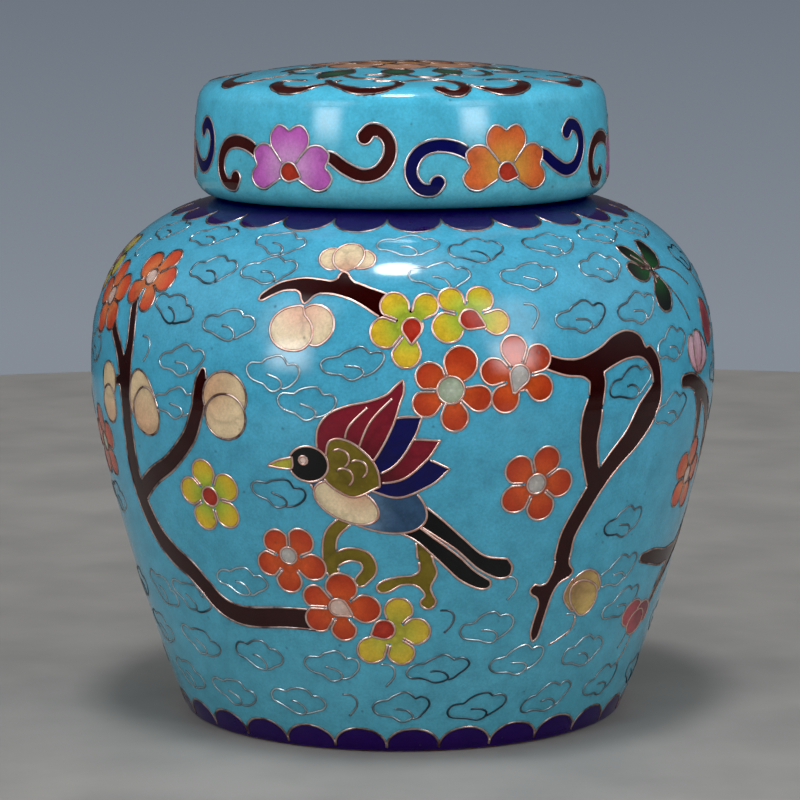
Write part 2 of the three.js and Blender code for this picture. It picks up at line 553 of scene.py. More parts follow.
class CloudNet:
    """The small wire clouds that fill the ground, and the short hooked wires between them."""

    HOOK_AND_LEFT = ((-1.0, -0.4), (0.0, -0.5), (1.0, -0.85), (1.6, -1.5), (1.6, -2.1), (1.0, -2.6), (0.1, -2.75),
                     (-0.7, -2.5), (-1.5, -2.0), (-2.6, -1.65), (-3.8, -1.4), (-4.5, -0.7), (-4.5, 0.2),
                     (-3.8, 0.95), (-2.8, 1.15), (-1.9, 1.15))
    TOP = ((-1.9, 1.15), (-1.3, 1.7), (-0.3, 2.2), (0.9, 2.5), (1.8, 2.25), (2.6, 1.35))
    RIGHT = ((2.6, 1.35), (3.5, 1.6), (4.4, 1.2), (4.8, 0.3), (4.3, -0.7), (3.3, -1.5), (2.3, -2.15), (1.6, -2.3))
    SHORT_HOOK = ((-1.0, 2.2), (0.4, 2.1), (1.2, 1.2), (1.0, -0.2), (-0.2, -1.8))

    def __init__(self, drawing: Drawing, gauge: float = 0.28) -> None:
        """Starts a net on a drawing, with a wire gauge."""
        self.drawing = drawing
        self.gauge = gauge
        self.random = np.random.default_rng(11)
        self.centres: list[np.ndarray] = []

    def outline(self, place: Pair, tilt: float, size: float) -> tuple[np.ndarray, np.ndarray]:
        """A cloud's wire and its field's outline, on the flat map."""
        spans = []
        sway = math.sin(13.0 * place[0] + 7.0 * place[1])
        skew = np.array([[1.0 + 0.05 * sway, 0.04 * sway], [0.03 * sway, 1.0 - 0.06 * sway]])
        for span in (self.HOOK_AND_LEFT, self.TOP, self.RIGHT):
            local = np.array(span) * size
            local = smooth((local + 0.08 * np.sin(local[:, ::-1] * 2.1 + place[0])) @ skew)
            spans.append(self.drawing.flat(self.drawing.chart.around(place, local, tilt)))
        whole = np.vstack([spans[0][:-1], spans[1][:-1], spans[2]])
        return whole, whole[50:]

    def cloud(self, place: Pair, tilt: float = 0.0, size: float = 1.0) -> None:
        """Lays one cloud."""
        wire, shape = self.outline(place, tilt, size)
        self.centres.append(self.drawing.flat(np.array([place]))[0])
        self.drawing.lay(shape, Enamel.CLOUD, wired=False)
        self.drawing.line(wire, self.gauge, "cloud")

    def hook(self, place: Pair, tilt: float = 0.0) -> None:
        """Lays one short hooked wire."""
        local = smooth(self.SHORT_HOOK)
        self.drawing.line(self.drawing.flat(self.drawing.chart.around(place, local, tilt)), self.gauge, "cloud")

    def fill(self, low: float, high: float, left: float, right: float, spacing: Pair = (12.6, 7.4)) -> None:
        """Lays rows of clouds wherever there is room.

        Args:
            low: The lowest row's chart height.
            high: The highest that a row may be.
            left: The first x.
            right: The last x.
            spacing: The distance between clouds of a row, and between rows.
        """
        chart = self.drawing.chart
        for row, y in enumerate(np.arange(low, high, spacing[1])):
            pitch = spacing[0] * chart.girth / float(chart.radius_at(y))
            for x in np.arange(left + (row % 2) * pitch / 2, right, pitch):
                nudge = self.random.uniform(-1.0, 1.0, 4)
                place = (x + 1.3 * nudge[0], y + 0.8 * nudge[1])
                wire, shape = self.outline(place, 12 * nudge[2], 0.96)
                centre = self.drawing.flat(np.array([place]))[0]
                gaps = [np.linalg.norm(centre - other) for other in self.centres]
                if gaps and min(gaps) < 9.0 * self.drawing.unit(shape):
                    continue
                if self.drawing.near_field(wire, 0.9):
                    continue
                self.cloud(place, 12 * nudge[2], 0.96)


@dataclass(frozen=True)
class JarForm:
    """The jar's own sizes: the sheet, the foot, the flank, the shoulder, the neck and the floor."""

    wall: float = 2.2
    foot_radius: float = 36.6
    foot_round: float = 0.6
    foot_width: float = 1.8
    foot_recess: float = 1.6
    belly: Pair = (52.0, 55.9)
    ledge: Pair = (30.0, 86.1)
    flank_low: Pair = (42.1, 12.0)
    flank_high: Pair = (52.0, 47.0)
    shoulder_low: Pair = (52.0, 62.0)
    shoulder_high: Pair = (53.2, 81.3)
    neck_radius: float = 27.7
    neck_top: float = 97.6
    floor_round: float = 4.0
    neck_root_round: float = 1.6
    rim_gilding: float = 1.7

    @cached_property
    def flank(self) -> np.ndarray:
        """The outside from the foot to the belly."""
        return bezier((self.foot_radius, 0.0), self.flank_low, self.flank_high, self.belly)

    @cached_property
    def shoulder(self) -> np.ndarray:
        """The outside from the belly to the ledge."""
        return bezier(self.belly, self.shoulder_low, self.shoulder_high, self.ledge)

    def outside(self) -> np.ndarray:
        """The enamelled outside, from the foot line to the ledge."""
        return np.vstack([self.flank, self.shoulder[1:]])

    def underside(self, start: np.ndarray) -> np.ndarray:
        """The outline from the outside's lowest ring, round the foot and in to the axis."""
        inner = self.foot_radius - self.foot_round - self.foot_width
        sole = self.foot_radius - self.foot_round
        foot = arc((sole, float(start[1])), (float(start[0]) - sole, float(start[1]) - 0.1), 0, -90, 6)
        root = arc((inner - 1.3, self.foot_recess - 0.8), (0.8, 0.8), 0, 90, 5)
        steps = np.linspace(inner - 1.6, 0.0, 12)[1:]
        floor = np.stack([steps, np.full(len(steps), self.foot_recess)], axis=1)
        return np.vstack([foot, (inner + 0.3, 0.1), (inner, 0.4), root, floor])

    def inside(self) -> np.ndarray:
        """The outline from the ledge up the neck, over the mouth and down the inside to the axis."""
        round_top = self.wall / 2
        throat = self.neck_radius - self.wall
        floor_top = self.foot_recess + self.wall
        root = arc((self.neck_radius + 0.5, self.ledge[1] + 0.5), (0.5, 0.5), 270, 180, 4)
        mouth = arc((self.neck_radius - round_top, self.neck_top - round_top), (round_top, round_top), 0, 180, 11)
        inner_shoulder = offset(self.shoulder, self.wall)[::-1][::12]
        inner_flank = offset(self.flank, self.wall)[::-1][12::12]
        centre = floor_top + self.floor_round
        inner_flank = inner_flank[inner_flank[:, 1] > centre - 1.0]
        edge = inner_flank[-1][0]
        corner = arc((edge - self.floor_round, centre), (self.floor_round, self.floor_round), -12, -90, 7)
        turn = inner_shoulder[0]
        throat_root = bezier((throat, turn[1] + self.neck_root_round), (throat, turn[1]), tuple(turn), count=5)
        steps = np.linspace(edge - self.floor_round, 0.0, 14)[1:]
        floor = np.stack([steps, np.full(len(steps), floor_top)], axis=1)
        return np.vstack([root, mouth, throat_root[:-1], inner_shoulder, inner_flank, corner, floor])


@dataclass(frozen=True)
class CapForm:
    """The cap's own sizes: its lip, its wall, its corner and its crown."""

    wall: float = 2.2
    seat: float = 86.1
    lip_radius: float = 30.5
    lip_height: float = 4.1
    radius: float = 34.4
    taper: float = 0.7
    lean: float = math.radians(11.3)
    corner: float = 3.8
    crown_top: float = 108.1
    crown_curve: float = 172.0

    def shell(self, inset: float) -> np.ndarray:
        """The cap's outline from the lip to the crown, drawn in from its outside by a distance."""
        top_radius = self.radius - self.taper
        centre = top_radius - self.corner * math.cos(self.lean)
        crown_centre = self.crown_top - self.crown_curve
        height = crown_centre + math.sqrt((self.crown_curve - self.corner) ** 2 - centre**2)
        edge = math.degrees(math.atan2(height - crown_centre, centre))
        lip_centre = self.seat + self.lip_height
        wall_top = height + self.corner * math.sin(self.lean)
        reach = (self.radius - self.lip_radius - inset, self.lip_height - inset)
        lip = arc((self.lip_radius, lip_centre), reach, -90, 0)
        side = bezier((self.radius, lip_centre), (self.radius, wall_top - self.taper / math.tan(self.lean)),
                      (top_radius, wall_top))
        side = offset(side, inset)
        rounding = arc((centre, height), (self.corner - inset,) * 2, math.degrees(self.lean), edge)
        dome = self.crown_curve - inset
        crown = arc((0.0, crown_centre), (dome, dome), edge, 90, 400)
        crown[-1, 0] = 0.0
        return np.vstack([lip, side[1:], rounding[1:], crown[1:]])

    def hollow(self) -> np.ndarray:
        """The outline from the lip's lowest ring, in under the lip and up the inside to the axis."""
        mouth = self.lip_radius - self.wall
        rim = np.array([(self.lip_radius, self.seat), (mouth + 0.4, self.seat), (mouth, self.seat + 0.4)])
        inner = self.shell(self.wall)
        return np.vstack([rim, (mouth, self.seat + self.wall), inner[4:-1:16], inner[-1:]])


class Shell:
    """Triangles gathered for one piece, each corner with its normal, its enamel and its bake place."""

    def __init__(self) -> None:
        """Starts with no triangles."""
        self.points: list[np.ndarray] = []
        self.faces: list[np.ndarray] = []
        self.normals: list[np.ndarray] = []
        self.colours: list[np.ndarray] = []
        self.bakes: list[np.ndarray] = []
        self.count = 0

    def add_points(self, points: np.ndarray) -> np.ndarray:
        """Adds points in millimetres and returns their numbers."""
        numbers = np.arange(self.count, self.count + len(points))
        self.points.append(points)
        self.count += len(points)
        return numbers

    def add_faces(self, faces: np.ndarray, normals: np.ndarray, colours: np.ndarray, bakes: np.ndarray) -> None:
        """Adds triangles.

        Args:
            faces: Three point numbers a row.
            normals: A normal for each corner.
            colours: A colour for each corner.
            bakes: A place on the bake map for each corner.
        """
        self.faces.append(faces)
        self.normals.append(normals)
        self.colours.append(colours)
        self.bakes.append(bakes)

    def turn(self, ring: np.ndarray, outline: np.ndarray, forward: bool, paints: Sequence[np.ndarray],
             first_normal: Pair, bake_column: Pair) -> None:
        """Sweeps an outline round the axis, from a ring of points that is there already to the axis.

        Args:
            ring: The ring's point numbers.
            outline: Points of radius and height, from the ring's own to one on the axis.
            forward: Whether the outline runs the way round that keeps the body on its left.
            paints: The colour of each span.
            first_normal: The normal where the outline starts, as radius and height.
            bake_column: The left and the right edge of its column on the bake map.
        """
        sense = 1.0 if forward else -1.0
        spans = np.diff(outline, axis=0)
        flats = sense * np.stack([spans[:, 1], -spans[:, 0]], axis=1)
        flats /= np.maximum(np.linalg.norm(flats, axis=1), 1e-9)[:, None]
        starts = flats.copy()
        ends = flats.copy()
        for i in range(len(flats)):
            before = np.array(first_normal) if i == 0 else flats[i - 1]
            if before @ flats[i] > 0.75:
                mean = before if i == 0 else (before + flats[i]) / np.linalg.norm(before + flats[i])
                starts[i] = mean
                if i:
                    ends[i - 1] = mean
        around = len(ring)
        turns = np.arange(around) * 2 * math.pi / around
        ways = np.stack([np.sin(turns), -np.cos(turns)], axis=1)
        after = np.roll(np.arange(around), -1)
        lengths = np.concatenate([[0.0], np.cumsum(np.linalg.norm(spans, axis=1))])
        columns = bake_column[0] + (bake_column[1] - bake_column[0]) * lengths / lengths[-1]
        share = np.arange(around + 1) / around * 0.96 + 0.02
        for i, (radius, height) in enumerate(outline[1:]):
            last = i == len(spans) - 1
            if last:
                numbers = np.full(around, self.add_points(np.array([[0.0, 0.0, height]]))[0])
            else:
                numbers = self.add_points(np.column_stack([ways * radius, np.full(around, height)]))
            quad = np.stack([ring, ring[after], numbers[after], numbers], axis=1)
            here = np.column_stack([ways * starts[i][0], np.full(around, starts[i][1])])
            there = np.column_stack([ways * ends[i][0], np.full(around, ends[i][1])])
            way = np.stack([here, here[after], there[after], there], axis=1)
            bake = np.empty((around, 4, 2))
            bake[:, :2, 0] = columns[i]
            bake[:, 2:, 0] = columns[i + 1]
            bake[:, (0, 3), 1] = share[:-1, None]
            bake[:, (1, 2), 1] = share[1:, None]
            order = (0, 1, 2, 3) if forward else (3, 2, 1, 0)
            for triple in ((0, 1, 2),) if last else ((0, 1, 2), (0, 2, 3)):
                picks = [order[k] for k in triple]
                if last and not forward:
                    picks = [2, 1, 0]
                colours = np.broadcast_to(paints[i], (around, 3, 4))
                self.add_faces(quad[:, picks], way[:, picks], colours, bake[:, picks])
            ring = numbers

    def build(self, name: str, material: bpy.types.Material) -> bpy.types.Object:
        """Makes the piece's object.

        Args:
            name: The piece's name.
            material: Its finish.

        Returns:
            The new object, in metres.
        """
        faces = np.vstack(self.faces)
        mesh = bpy.data.meshes.new(name)
        mesh.from_pydata((np.vstack(self.points) * MM).tolist(), [], faces.tolist())
        colour = mesh.attributes.new("enamel", "FLOAT_COLOR", "CORNER")
        colour.data.foreach_set("color", np.vstack(self.colours).astype(np.float32).ravel())
        bake = mesh.uv_layers.new(name="OFBake")
        bake.data.foreach_set("uv", np.vstack(self.bakes).astype(np.float32).ravel())
        mesh.polygons.foreach_set("use_smooth", np.ones(len(faces), bool))
        mesh.normals_split_custom_set(np.vstack(self.normals).reshape(-1, 3).tolist())
        mesh.materials.append(material)
        mesh.update()
        return add_object(name, mesh)


def add_object(name: str, mesh: bpy.types.Mesh) -> bpy.types.Object:
    """Puts a mesh in the scene under a name."""
    piece = bpy.data.objects.new(name, mesh)
    bpy.context.scene.collection.objects.link(piece)
    return piece


@dataclass
class EnamelSkin:
    """The enamelled outside of a turned piece, with every field's outline cut into its mesh."""

    drawing: Drawing
    low: float
    high: float
    zones: tuple[tuple[float, float, Enamel], ...] = ()
    base: Enamel = Enamel.GROUND
    # How far up, as a share of the chart's height, the base enamel blends between its two colours: a ramp of painted
    # shade and painted light, not a change in the enamel itself.
    painted_light_ramp: float = 0.6
    cloud_shade: float = 0.95
    wire_shade: float = 0.78
    spacing: float = 1.25
    ring_count: int = 240

    def ring(self, y: float) -> np.ndarray:
        """Evenly spaced chart places round the piece at one height."""
        turns = np.arange(self.ring_count) * 2 * math.pi / self.ring_count
        return np.stack([turns * self.drawing.chart.girth, np.full(self.ring_count, y)], axis=1)

    def lattice(self) -> np.ndarray:
        """Evenly spread chart places between the lowest and the highest ring."""
        chart = self.drawing.chart
        rows = []
        heights = np.arange(self.low + 0.8 * self.spacing, self.high - 0.4 * self.spacing, self.spacing * 0.87)
        for i, y in enumerate(heights):
            count = max(6, int(round(2 * math.pi * float(chart.radius_at(y)) / self.spacing)))
            turns = (np.arange(count) + 0.5 * (i % 2)) * 2 * math.pi / count
            rows.append(np.stack([turns * chart.girth, np.full(count, y)], axis=1))
        return np.vstack(rows)

    def triangulate(self) -> tuple[np.ndarray, np.ndarray, dict[int, int], np.ndarray]:
        """Cuts the flat map along every outline.

        Returns:
            The points of the flat map, the triangles, where each ring point ended up, and how much light
            the enamel keeps at each point.
        """
        chart = self.drawing.chart
        rings = [self.ring(self.low)]
        if self.high < chart.top or chart.radius[-1] > 1:
            rings.append(self.ring(self.high))
        sets = [chart.flat(ring) for ring in rings]
        edges = []
        start = 0
        for ring in sets:
            edges += [(start + i, start + (i + 1) % len(ring)) for i in range(len(ring))]
            start += len(ring)
        for patch in self.drawing.fields:
            count = len(patch.outline)
            edges += [(start + i, start + (i + 1) % count) for i in range(count)]
            sets.append(patch.outline)
            start += count
        drawn = range(sum(len(ring) for ring in rings), start)
        sets.append(chart.flat(self.lattice()))
        if len(rings) == 1:
            sets.append(np.zeros((1, 2)))
        points = [Vector(point) for point in np.vstack(sets)]
        found = delaunay_2d_cdt(points, edges, [], 0, 0.01, True)
        flat = np.array([tuple(point) for point in found[0]])
        faces = np.array(found[2])
        moved = {}
        for new, olds in enumerate(found[3]):
            for old in olds:
                moved[old] = new
        shade = np.ones(len(flat))
        shade[[moved[i] for i in drawn]] = self.wire_shade
        a, b, c = (flat[faces[:, i]] for i in range(3))
        area = (b[:, 0] - a[:, 0]) * (c[:, 1] - a[:, 1]) - (c[:, 0] - a[:, 0]) * (b[:, 1] - a[:, 1])
        faces[area < 0] = faces[area < 0][:, ::-1]
        faces = faces[np.abs(area) > 1e-6]
        if len(rings) == 2:
            hole = np.hypot(*sets[1][0]) * math.cos(math.pi / self.ring_count)
            middle = flat[faces].mean(axis=1)
            on_ring = np.isin(faces, [moved[self.ring_count + i] for i in range(self.ring_count)]).all(axis=1)
            faces = faces[~(on_ring & (np.hypot(*middle.T) < hole))]
        return flat, faces, moved, shade

    def colours(self, flat: np.ndarray, faces: np.ndarray, shade: np.ndarray) -> np.ndarray:
        """The enamel colour at each triangle's corners."""
        middle = flat[faces].mean(axis=1)
        height = self.drawing.chart.places(middle)[:, 1]
        # The base enamel blends with height from its low colour to its high colour: painted shade darkening the jar's
        # lower flank, and painted light on the cap's lower wall.
        rise = self.drawing.chart.places(flat)[:, 1] / (self.drawing.chart.top * self.painted_light_ramp)
        rise = np.clip(rise, 0.0, 1.0)[faces][..., None]
        painted = linear(self.base.value.edge) * (1 - rise) + linear(self.base.value.heart) * rise
        for low, high, enamel in self.zones:
            painted[(height > low) & (height < high)] = linear(enamel.value.edge)
        owner = np.full(len(faces), -1)
        for i, patch in enumerate(self.drawing.fields):
            owner[inside(middle, patch.outline)] = i
        for i, patch in enumerate(self.drawing.fields):
            mine = owner == i
            if patch.enamel is Enamel.CLOUD:
                painted[mine, :, :3] *= self.cloud_shade
                continue
            if not mine.any():
                continue
            away = np.linalg.norm(flat[faces[mine]] - patch.focus, axis=2)
            blend = np.clip((away - patch.near) / max(patch.far - patch.near, 1e-6), 0.0, 1.0)
            blend = (blend * blend * (3 - 2 * blend))[..., None]
            paint = patch.enamel.value
            painted[mine] = linear(paint.heart) * (1 - blend) + linear(paint.edge) * blend
        painted[..., :3] *= shade[faces][..., None]
        return painted

    def bake_places(self, places: np.ndarray, faces: np.ndarray) -> np.ndarray:
        """Where each corner lies on the bake map: two half turns of the chart, one above the other."""
        chart = self.drawing.chart
        corners = places[faces]
        turn = corners[..., 0] / chart.girth
        turn = turn[:, :1] + (turn - turn[:, :1] + math.pi) % (2 * math.pi) - math.pi
        middle = turn.mean(axis=1)
        lap = np.floor(middle / math.pi)
        across = (turn - lap[:, None] * math.pi) / math.pi
        row = (lap % 2)[:, None]
        up = (corners[..., 1] - self.low) / (self.high - self.low)
        return np.stack([0.012 + 0.79 * across, 0.006 + 0.5 * row + 0.488 * up], axis=2)

    def lay(self, shell: Shell) -> tuple[np.ndarray, np.ndarray | None]:
        """Adds the skin to a shell.

        Returns:
            The point numbers of its lowest ring and of its highest, if it has one.
        """
        flat, faces, moved, shade = self.triangulate()
        places = self.drawing.chart.places(flat)
        numbers = shell.add_points(self.drawing.chart.space(places))
        normals = self.drawing.chart.normals(places)
        painted = self.colours(flat, faces, shade)
        shell.add_faces(numbers[faces], normals[faces], painted, self.bake_places(places, faces))
        low = numbers[[moved[i] for i in range(self.ring_count)]]
        if self.high < self.drawing.chart.top or self.drawing.chart.radius[-1] > 1:
            return low, numbers[[moved[self.ring_count + i] for i in range(self.ring_count)]]
        return low, None


@dataclass(frozen=True)
class WireBundle:
    """Flat wires that stand on edge in the enamel, ground flush and just proud of it, each in a dark seam."""

    proud: float = 0.085
    lip: float = 0.02
    depth: float = 0.06
    crown: float = 0.34
    seam: float = 0.045
    bake_row: float = 1.2

    def section(self, gauge: float) -> np.ndarray:
        """The wire's section: distances across it and up from the enamel."""
        half = gauge / 2
        foot = half + self.seam * (1 + self.depth / self.lip)
        return np.array([(-foot, -self.depth), (-half, self.lip), (-self.crown * gauge, self.proud),
                         (self.crown * gauge, self.proud), (half, self.lip), (foot, -self.depth)])

    def bake_starts(self, lengths: Sequence[float]) -> tuple[list[Pair], float]:
        """Packs the runs into rows on the bake map.

        Args:
            lengths: Each run's length in millimetres.

        Returns:
            Where each run starts, in millimetres, and the size of the whole square.
        """
        gap = 0.5
        width = max(max(lengths), math.sqrt(sum(lengths) * self.bake_row)) + gap
        starts = []
        along = 0.0
        up = 0.0
        for length in lengths:
            if along + length > width:
                along = 0.0
                up += self.bake_row
            starts.append((along, up))
            along += length + gap
        return starts, max(width, up + self.bake_row)

    def build(self, name: str, chart: Chart, runs: Iterable[tuple[np.ndarray, bool, float]],
              material: bpy.types.Material) -> bpy.types.Object:
        """Makes one mesh of many wires.

        Args:
            name: The piece's name.
            chart: The chart that they are drawn on.
            runs: Each wire's points on the flat map, whether it is closed, and its gauge.
            material: Their finish.

        Returns:
            The new object.
        """
        wires = []
        for flat, closed, gauge in runs:
            places = chart.places(flat)
            middle = chart.space(places)
            out = chart.normals(places)
            if closed:
                along = np.roll(middle, -1, axis=0) - np.roll(middle, 1, axis=0)
                steps = np.linalg.norm(np.roll(middle, -1, axis=0) - middle, axis=1)
            else:
                along = np.gradient(middle, axis=0)
                steps = np.linalg.norm(np.diff(middle, axis=0), axis=1)
            side = np.cross(out, along)
            side /= np.maximum(np.linalg.norm(side, axis=1), 1e-9)[:, None]
            section = self.section(gauge)
            rows = middle[:, None] + side[:, None] * section[None, :, :1] + out[:, None] * section[None, :, 1:]
            wires.append((rows, closed, np.concatenate([[0.0], np.cumsum(steps)])))
        starts, size = self.bake_starts([float(lengths[-1]) for rows, closed, lengths in wires])
        count = len(self.section(1.0))
        lift = np.linspace(0.0, self.bake_row - 0.15, count + 1)
        points = []
        faces = []
        bakes = []
        metals = []
        first = 0
        for (rows, closed, lengths), (along, up) in zip(wires, starts):
            total = len(rows)
            here = np.arange(total if closed else total - 1)
            there = (here + 1) % total
            for k in range(count):
                after = (k + 1) % count
                faces.append(first + np.stack([here * count + k, there * count + k, there * count + after,
                                               here * count + after], axis=1))
                low, high = up + lift[k], up + lift[k + 1]
                start, end = along + lengths[here], along + lengths[here + 1]
                corners = [np.stack([x, np.full(len(here), y)], axis=1)
                           for x, y in ((start, low), (end, low), (end, high), (start, high))]
                bakes.append(np.stack(corners, axis=1) / size)
                metals.append(np.full(len(here), 1.0 if 0 < k < count - 2 else 0.0))
            if not closed:
                last = (total - 1) * count
                for ends in (np.arange(count), last + np.arange(count)[::-1]):
                    faces.append(first + ends.reshape(1, -1))
                    spot = np.array([along, up]) + np.stack([np.cos(np.arange(count)), np.sin(np.arange(count))], axis=1) * 0.05
                    bakes.append(spot[None] / size)
                    metals.append(np.ones(1))
            points.append(rows.reshape(-1, 3))
            first += rows.shape[0] * count
        mesh = bpy.data.meshes.new(name)
        mesh.from_pydata((np.vstack(points) * MM).tolist(), [], [face for part in faces for face in part.tolist()])
        bake = mesh.uv_layers.new(name="OFBake")
        bake.data.foreach_set("uv", np.concatenate([part.reshape(-1) for part in bakes]).astype(np.float32))
        metal = mesh.attributes.new("metal", "FLOAT", "FACE")
        metal.data.foreach_set("value", np.concatenate(metals).astype(np.float32))
        mesh.polygons.foreach_set("use_smooth", np.ones(len(mesh.polygons), bool))
        mesh.materials.append(material)
        mesh.update()
        return add_object(name, mesh)


@dataclass(frozen=True)
class GiltRim:
    """A thin gilt band folded over an edge, as a closed ring."""

    section: np.ndarray
    around: int = 180

    def build(self, name: str, material: bpy.types.Material) -> bpy.types.Object:
        """Makes the ring's object under a name."""
        turns = np.arange(self.around) * 2 * math.pi / self.around
        count = len(self.section)
        points = [(r * math.sin(t) * MM, -r * math.cos(t) * MM, z * MM) for t in turns for r, z in self.section]
        faces = []
        for i in range(self.around):
            j = (i + 1) % self.around
            for k in range(count):
                m = (k + 1) % count
                faces.append((i * count + k, j * count + k, j * count + m, i * count + m))
        mesh = bpy.data.meshes.new(name)
        mesh.from_pydata(points, [], faces)
        mesh.polygons.foreach_set("use_smooth", np.ones(len(faces), bool))
        mesh.materials.append(material)
        mesh.update()
        return add_object(name, mesh)


class NodeBench:
    """A node tree and short ways to fill it."""

    def __init__(self, tree: bpy.types.NodeTree) -> None:
        """Starts on an empty tree."""
        self.tree = tree

    def add(self, kind: str, inputs: dict | None = None, **settings: object) -> bpy.types.Node:
        """Adds a node.

        Args:
            kind: The node's type.
            inputs: For each input, a value or the output that feeds it.
            settings: The node's own settings.

        Returns:
            The new node.
        """
        node = self.tree.nodes.new(kind)
        for name, value in settings.items():
            setattr(node, name, value)
        for name, value in (inputs or {}).items():
            if isinstance(value, bpy.types.NodeSocket):
                self.tree.links.new(value, node.inputs[name])
            else:
                node.inputs[name].default_value = value
        return node

    def maths(self, operation: str, first: object, second: object = 0.0) -> bpy.types.NodeSocket:
        """The output of a Math node, kept between 0 and 1 only where the operation does so."""
        return self.add("ShaderNodeMath", {0: first, 1: second}, operation=operation).outputs[0]

    def spread(self, value: object, low: float, high: float, to_low: float, to_high: float) -> bpy.types.NodeSocket:
        """A value moved from one range to another, and held there."""
        inputs = {"Value": value, "From Min": low, "From Max": high, "To Min": to_low, "To Max": to_high}
        return self.add("ShaderNodeMapRange", inputs).outputs["Result"]


def new_group(name: str, inputs: dict[str, tuple[str, object]], outputs: dict[str, str]) -> tuple:
    """Starts a shader node group.

    Args:
        name: The group's name.
        inputs: For each input, its socket type and its value.
        outputs: For each output, its socket type.

    Returns:
        The group, a bench to fill it on, its input node and its output node.
    """
    tree = bpy.data.node_groups.new(name, "ShaderNodeTree")
    for label, (kind, value) in inputs.items():
        socket = tree.interface.new_socket(label, in_out="INPUT", socket_type=kind)
        socket.default_value = value
    for label, kind in outputs.items():
        tree.interface.new_socket(label, in_out="OUTPUT", socket_type=kind)
    bench = NodeBench(tree)
    return tree, bench, bench.add("NodeGroupInput"), bench.add("NodeGroupOutput")


class Effects:
    """The node groups that more than one finish uses, each built once."""

    def __init__(self) -> None:
        """Builds the groups."""
        self.mottle = self.build_mottle()
        self.tarnish = self.build_tarnish()

    def build_mottle(self) -> bpy.types.NodeTree:
        """Powdered glass after firing: cloudy patches, fine grain and small pits."""
        number, colour = "NodeSocketFloat", "NodeSocketColor"
        inputs = {
            "Colour": (colour, (0.5, 0.5, 0.5, 1.0)),
            "Patches": (number, 260.0),
            "Grain": (number, 2600.0),
            "Pits": (number, 620.0),
            "Strength": (number, 1.0),
        }
        outputs = {"Colour": colour, "Roughness": number, "Height": number}
        tree, bench, given, out = new_group("fired_glass", inputs, outputs)
        where = bench.add("ShaderNodeTexCoord").outputs["Object"]
        noise = {"Vector": where, "Detail": 3.0, "Roughness": 0.6}
        patches = bench.add("ShaderNodeTexNoise", noise | {"Scale": given.outputs["Patches"]}).outputs["Fac"]
        grain = bench.add("ShaderNodeTexNoise", noise | {"Scale": given.outputs["Grain"]}).outputs["Fac"]
        cells = bench.add("ShaderNodeTexVoronoi", {"Vector": where, "Scale": given.outputs["Pits"]})
        rare = bench.spread(cells.outputs["Color"], 0.78, 0.8, 0.0, 1.0)
        pit = bench.maths("MULTIPLY", bench.spread(cells.outputs["Distance"], 0.08, 0.2, 1.0, 0.0), rare)
        light = bench.spread(patches, 0.3, 0.7, 0.86, 1.12)
        light = bench.maths("MULTIPLY", light, bench.spread(grain, 0.25, 0.75, 0.86, 1.14))
        light = bench.maths("MULTIPLY", light, bench.spread(pit, 0.0, 1.0, 1.0, 0.55))
        lit = bench.add("ShaderNodeMix", {"Factor": given.outputs["Strength"]}, data_type="FLOAT")
        lit.inputs[2].default_value = 1.0
        bench.tree.links.new(light, lit.inputs[3])
        scaled = bench.add("ShaderNodeVectorMath", {0: given.outputs["Colour"]}, operation="SCALE")
        bench.tree.links.new(lit.outputs[0], scaled.inputs["Scale"])
        rough = bench.maths("ADD", bench.spread(grain, 0.3, 0.7, 0.075, 0.13), bench.maths("MULTIPLY", pit, 0.35))
        waves = bench.add("ShaderNodeTexNoise", {"Vector": where, "Scale": 95.0, "Detail": 1.0}).outputs["Fac"]
        height = bench.maths("ADD", bench.maths("MULTIPLY", waves, 1.0), bench.maths("MULTIPLY", grain, 0.012))
        height = bench.maths("SUBTRACT", height, bench.maths("MULTIPLY", pit, 0.10))
        bench.tree.links.new(scaled.outputs[0], out.inputs["Colour"])
        bench.tree.links.new(rough, out.inputs["Roughness"])
        bench.tree.links.new(height, out.inputs["Height"])
        return tree

    def build_tarnish(self) -> bpy.types.NodeTree:
        """Thin gilding worn in places to the rosy copper under it."""
        number, colour = "NodeSocketFloat", "NodeSocketColor"
        inputs = {
            "Gilding": (colour, (1.0, 0.8, 0.6, 1.0)),
            "Copper": (colour, (0.9, 0.5, 0.4, 1.0)),
            "Scale": (number, 300.0),
            "Low roughness": (number, 0.15),
            "High roughness": (number, 0.35),
        }
        tree, bench, given, out = new_group("worn_gilding", inputs, {"Colour": colour, "Roughness": number})
        where = bench.add("ShaderNodeTexCoord").outputs["Object"]
        noise = {"Vector": where, "Scale": given.outputs["Scale"], "Detail": 4.0}
        worn = bench.add("ShaderNodeTexNoise", noise).outputs["Fac"]
        mask = bench.spread(worn, 0.4, 0.62, 0.0, 1.0)
        mixed = bench.add("ShaderNodeMix", {"Factor": mask}, data_type="RGBA")
        bench.tree.links.new(given.outputs["Gilding"], mixed.inputs[6])
        bench.tree.links.new(given.outputs["Copper"], mixed.inputs[7])
        rough = bench.add("ShaderNodeMapRange", {"Value": worn, "From Min": 0.3, "From Max": 0.7})
        bench.tree.links.new(given.outputs["Low roughness"], rough.inputs["To Min"])
        bench.tree.links.new(given.outputs["High roughness"], rough.inputs["To Max"])
        bench.tree.links.new(mixed.outputs[2], out.inputs["Colour"])
        bench.tree.links.new(rough.outputs["Result"], out.inputs["Roughness"])
        return tree


def new_material(name: str) -> tuple[bpy.types.Material, NodeBench, bpy.types.Node]:
    """A material with only a Principled BSDF, and a bench to fill it on."""
    material = bpy.data.materials.new(name)
    material.use_nodes = True
    bench = NodeBench(material.node_tree)
    return material, bench, material.node_tree.nodes["Principled BSDF"]


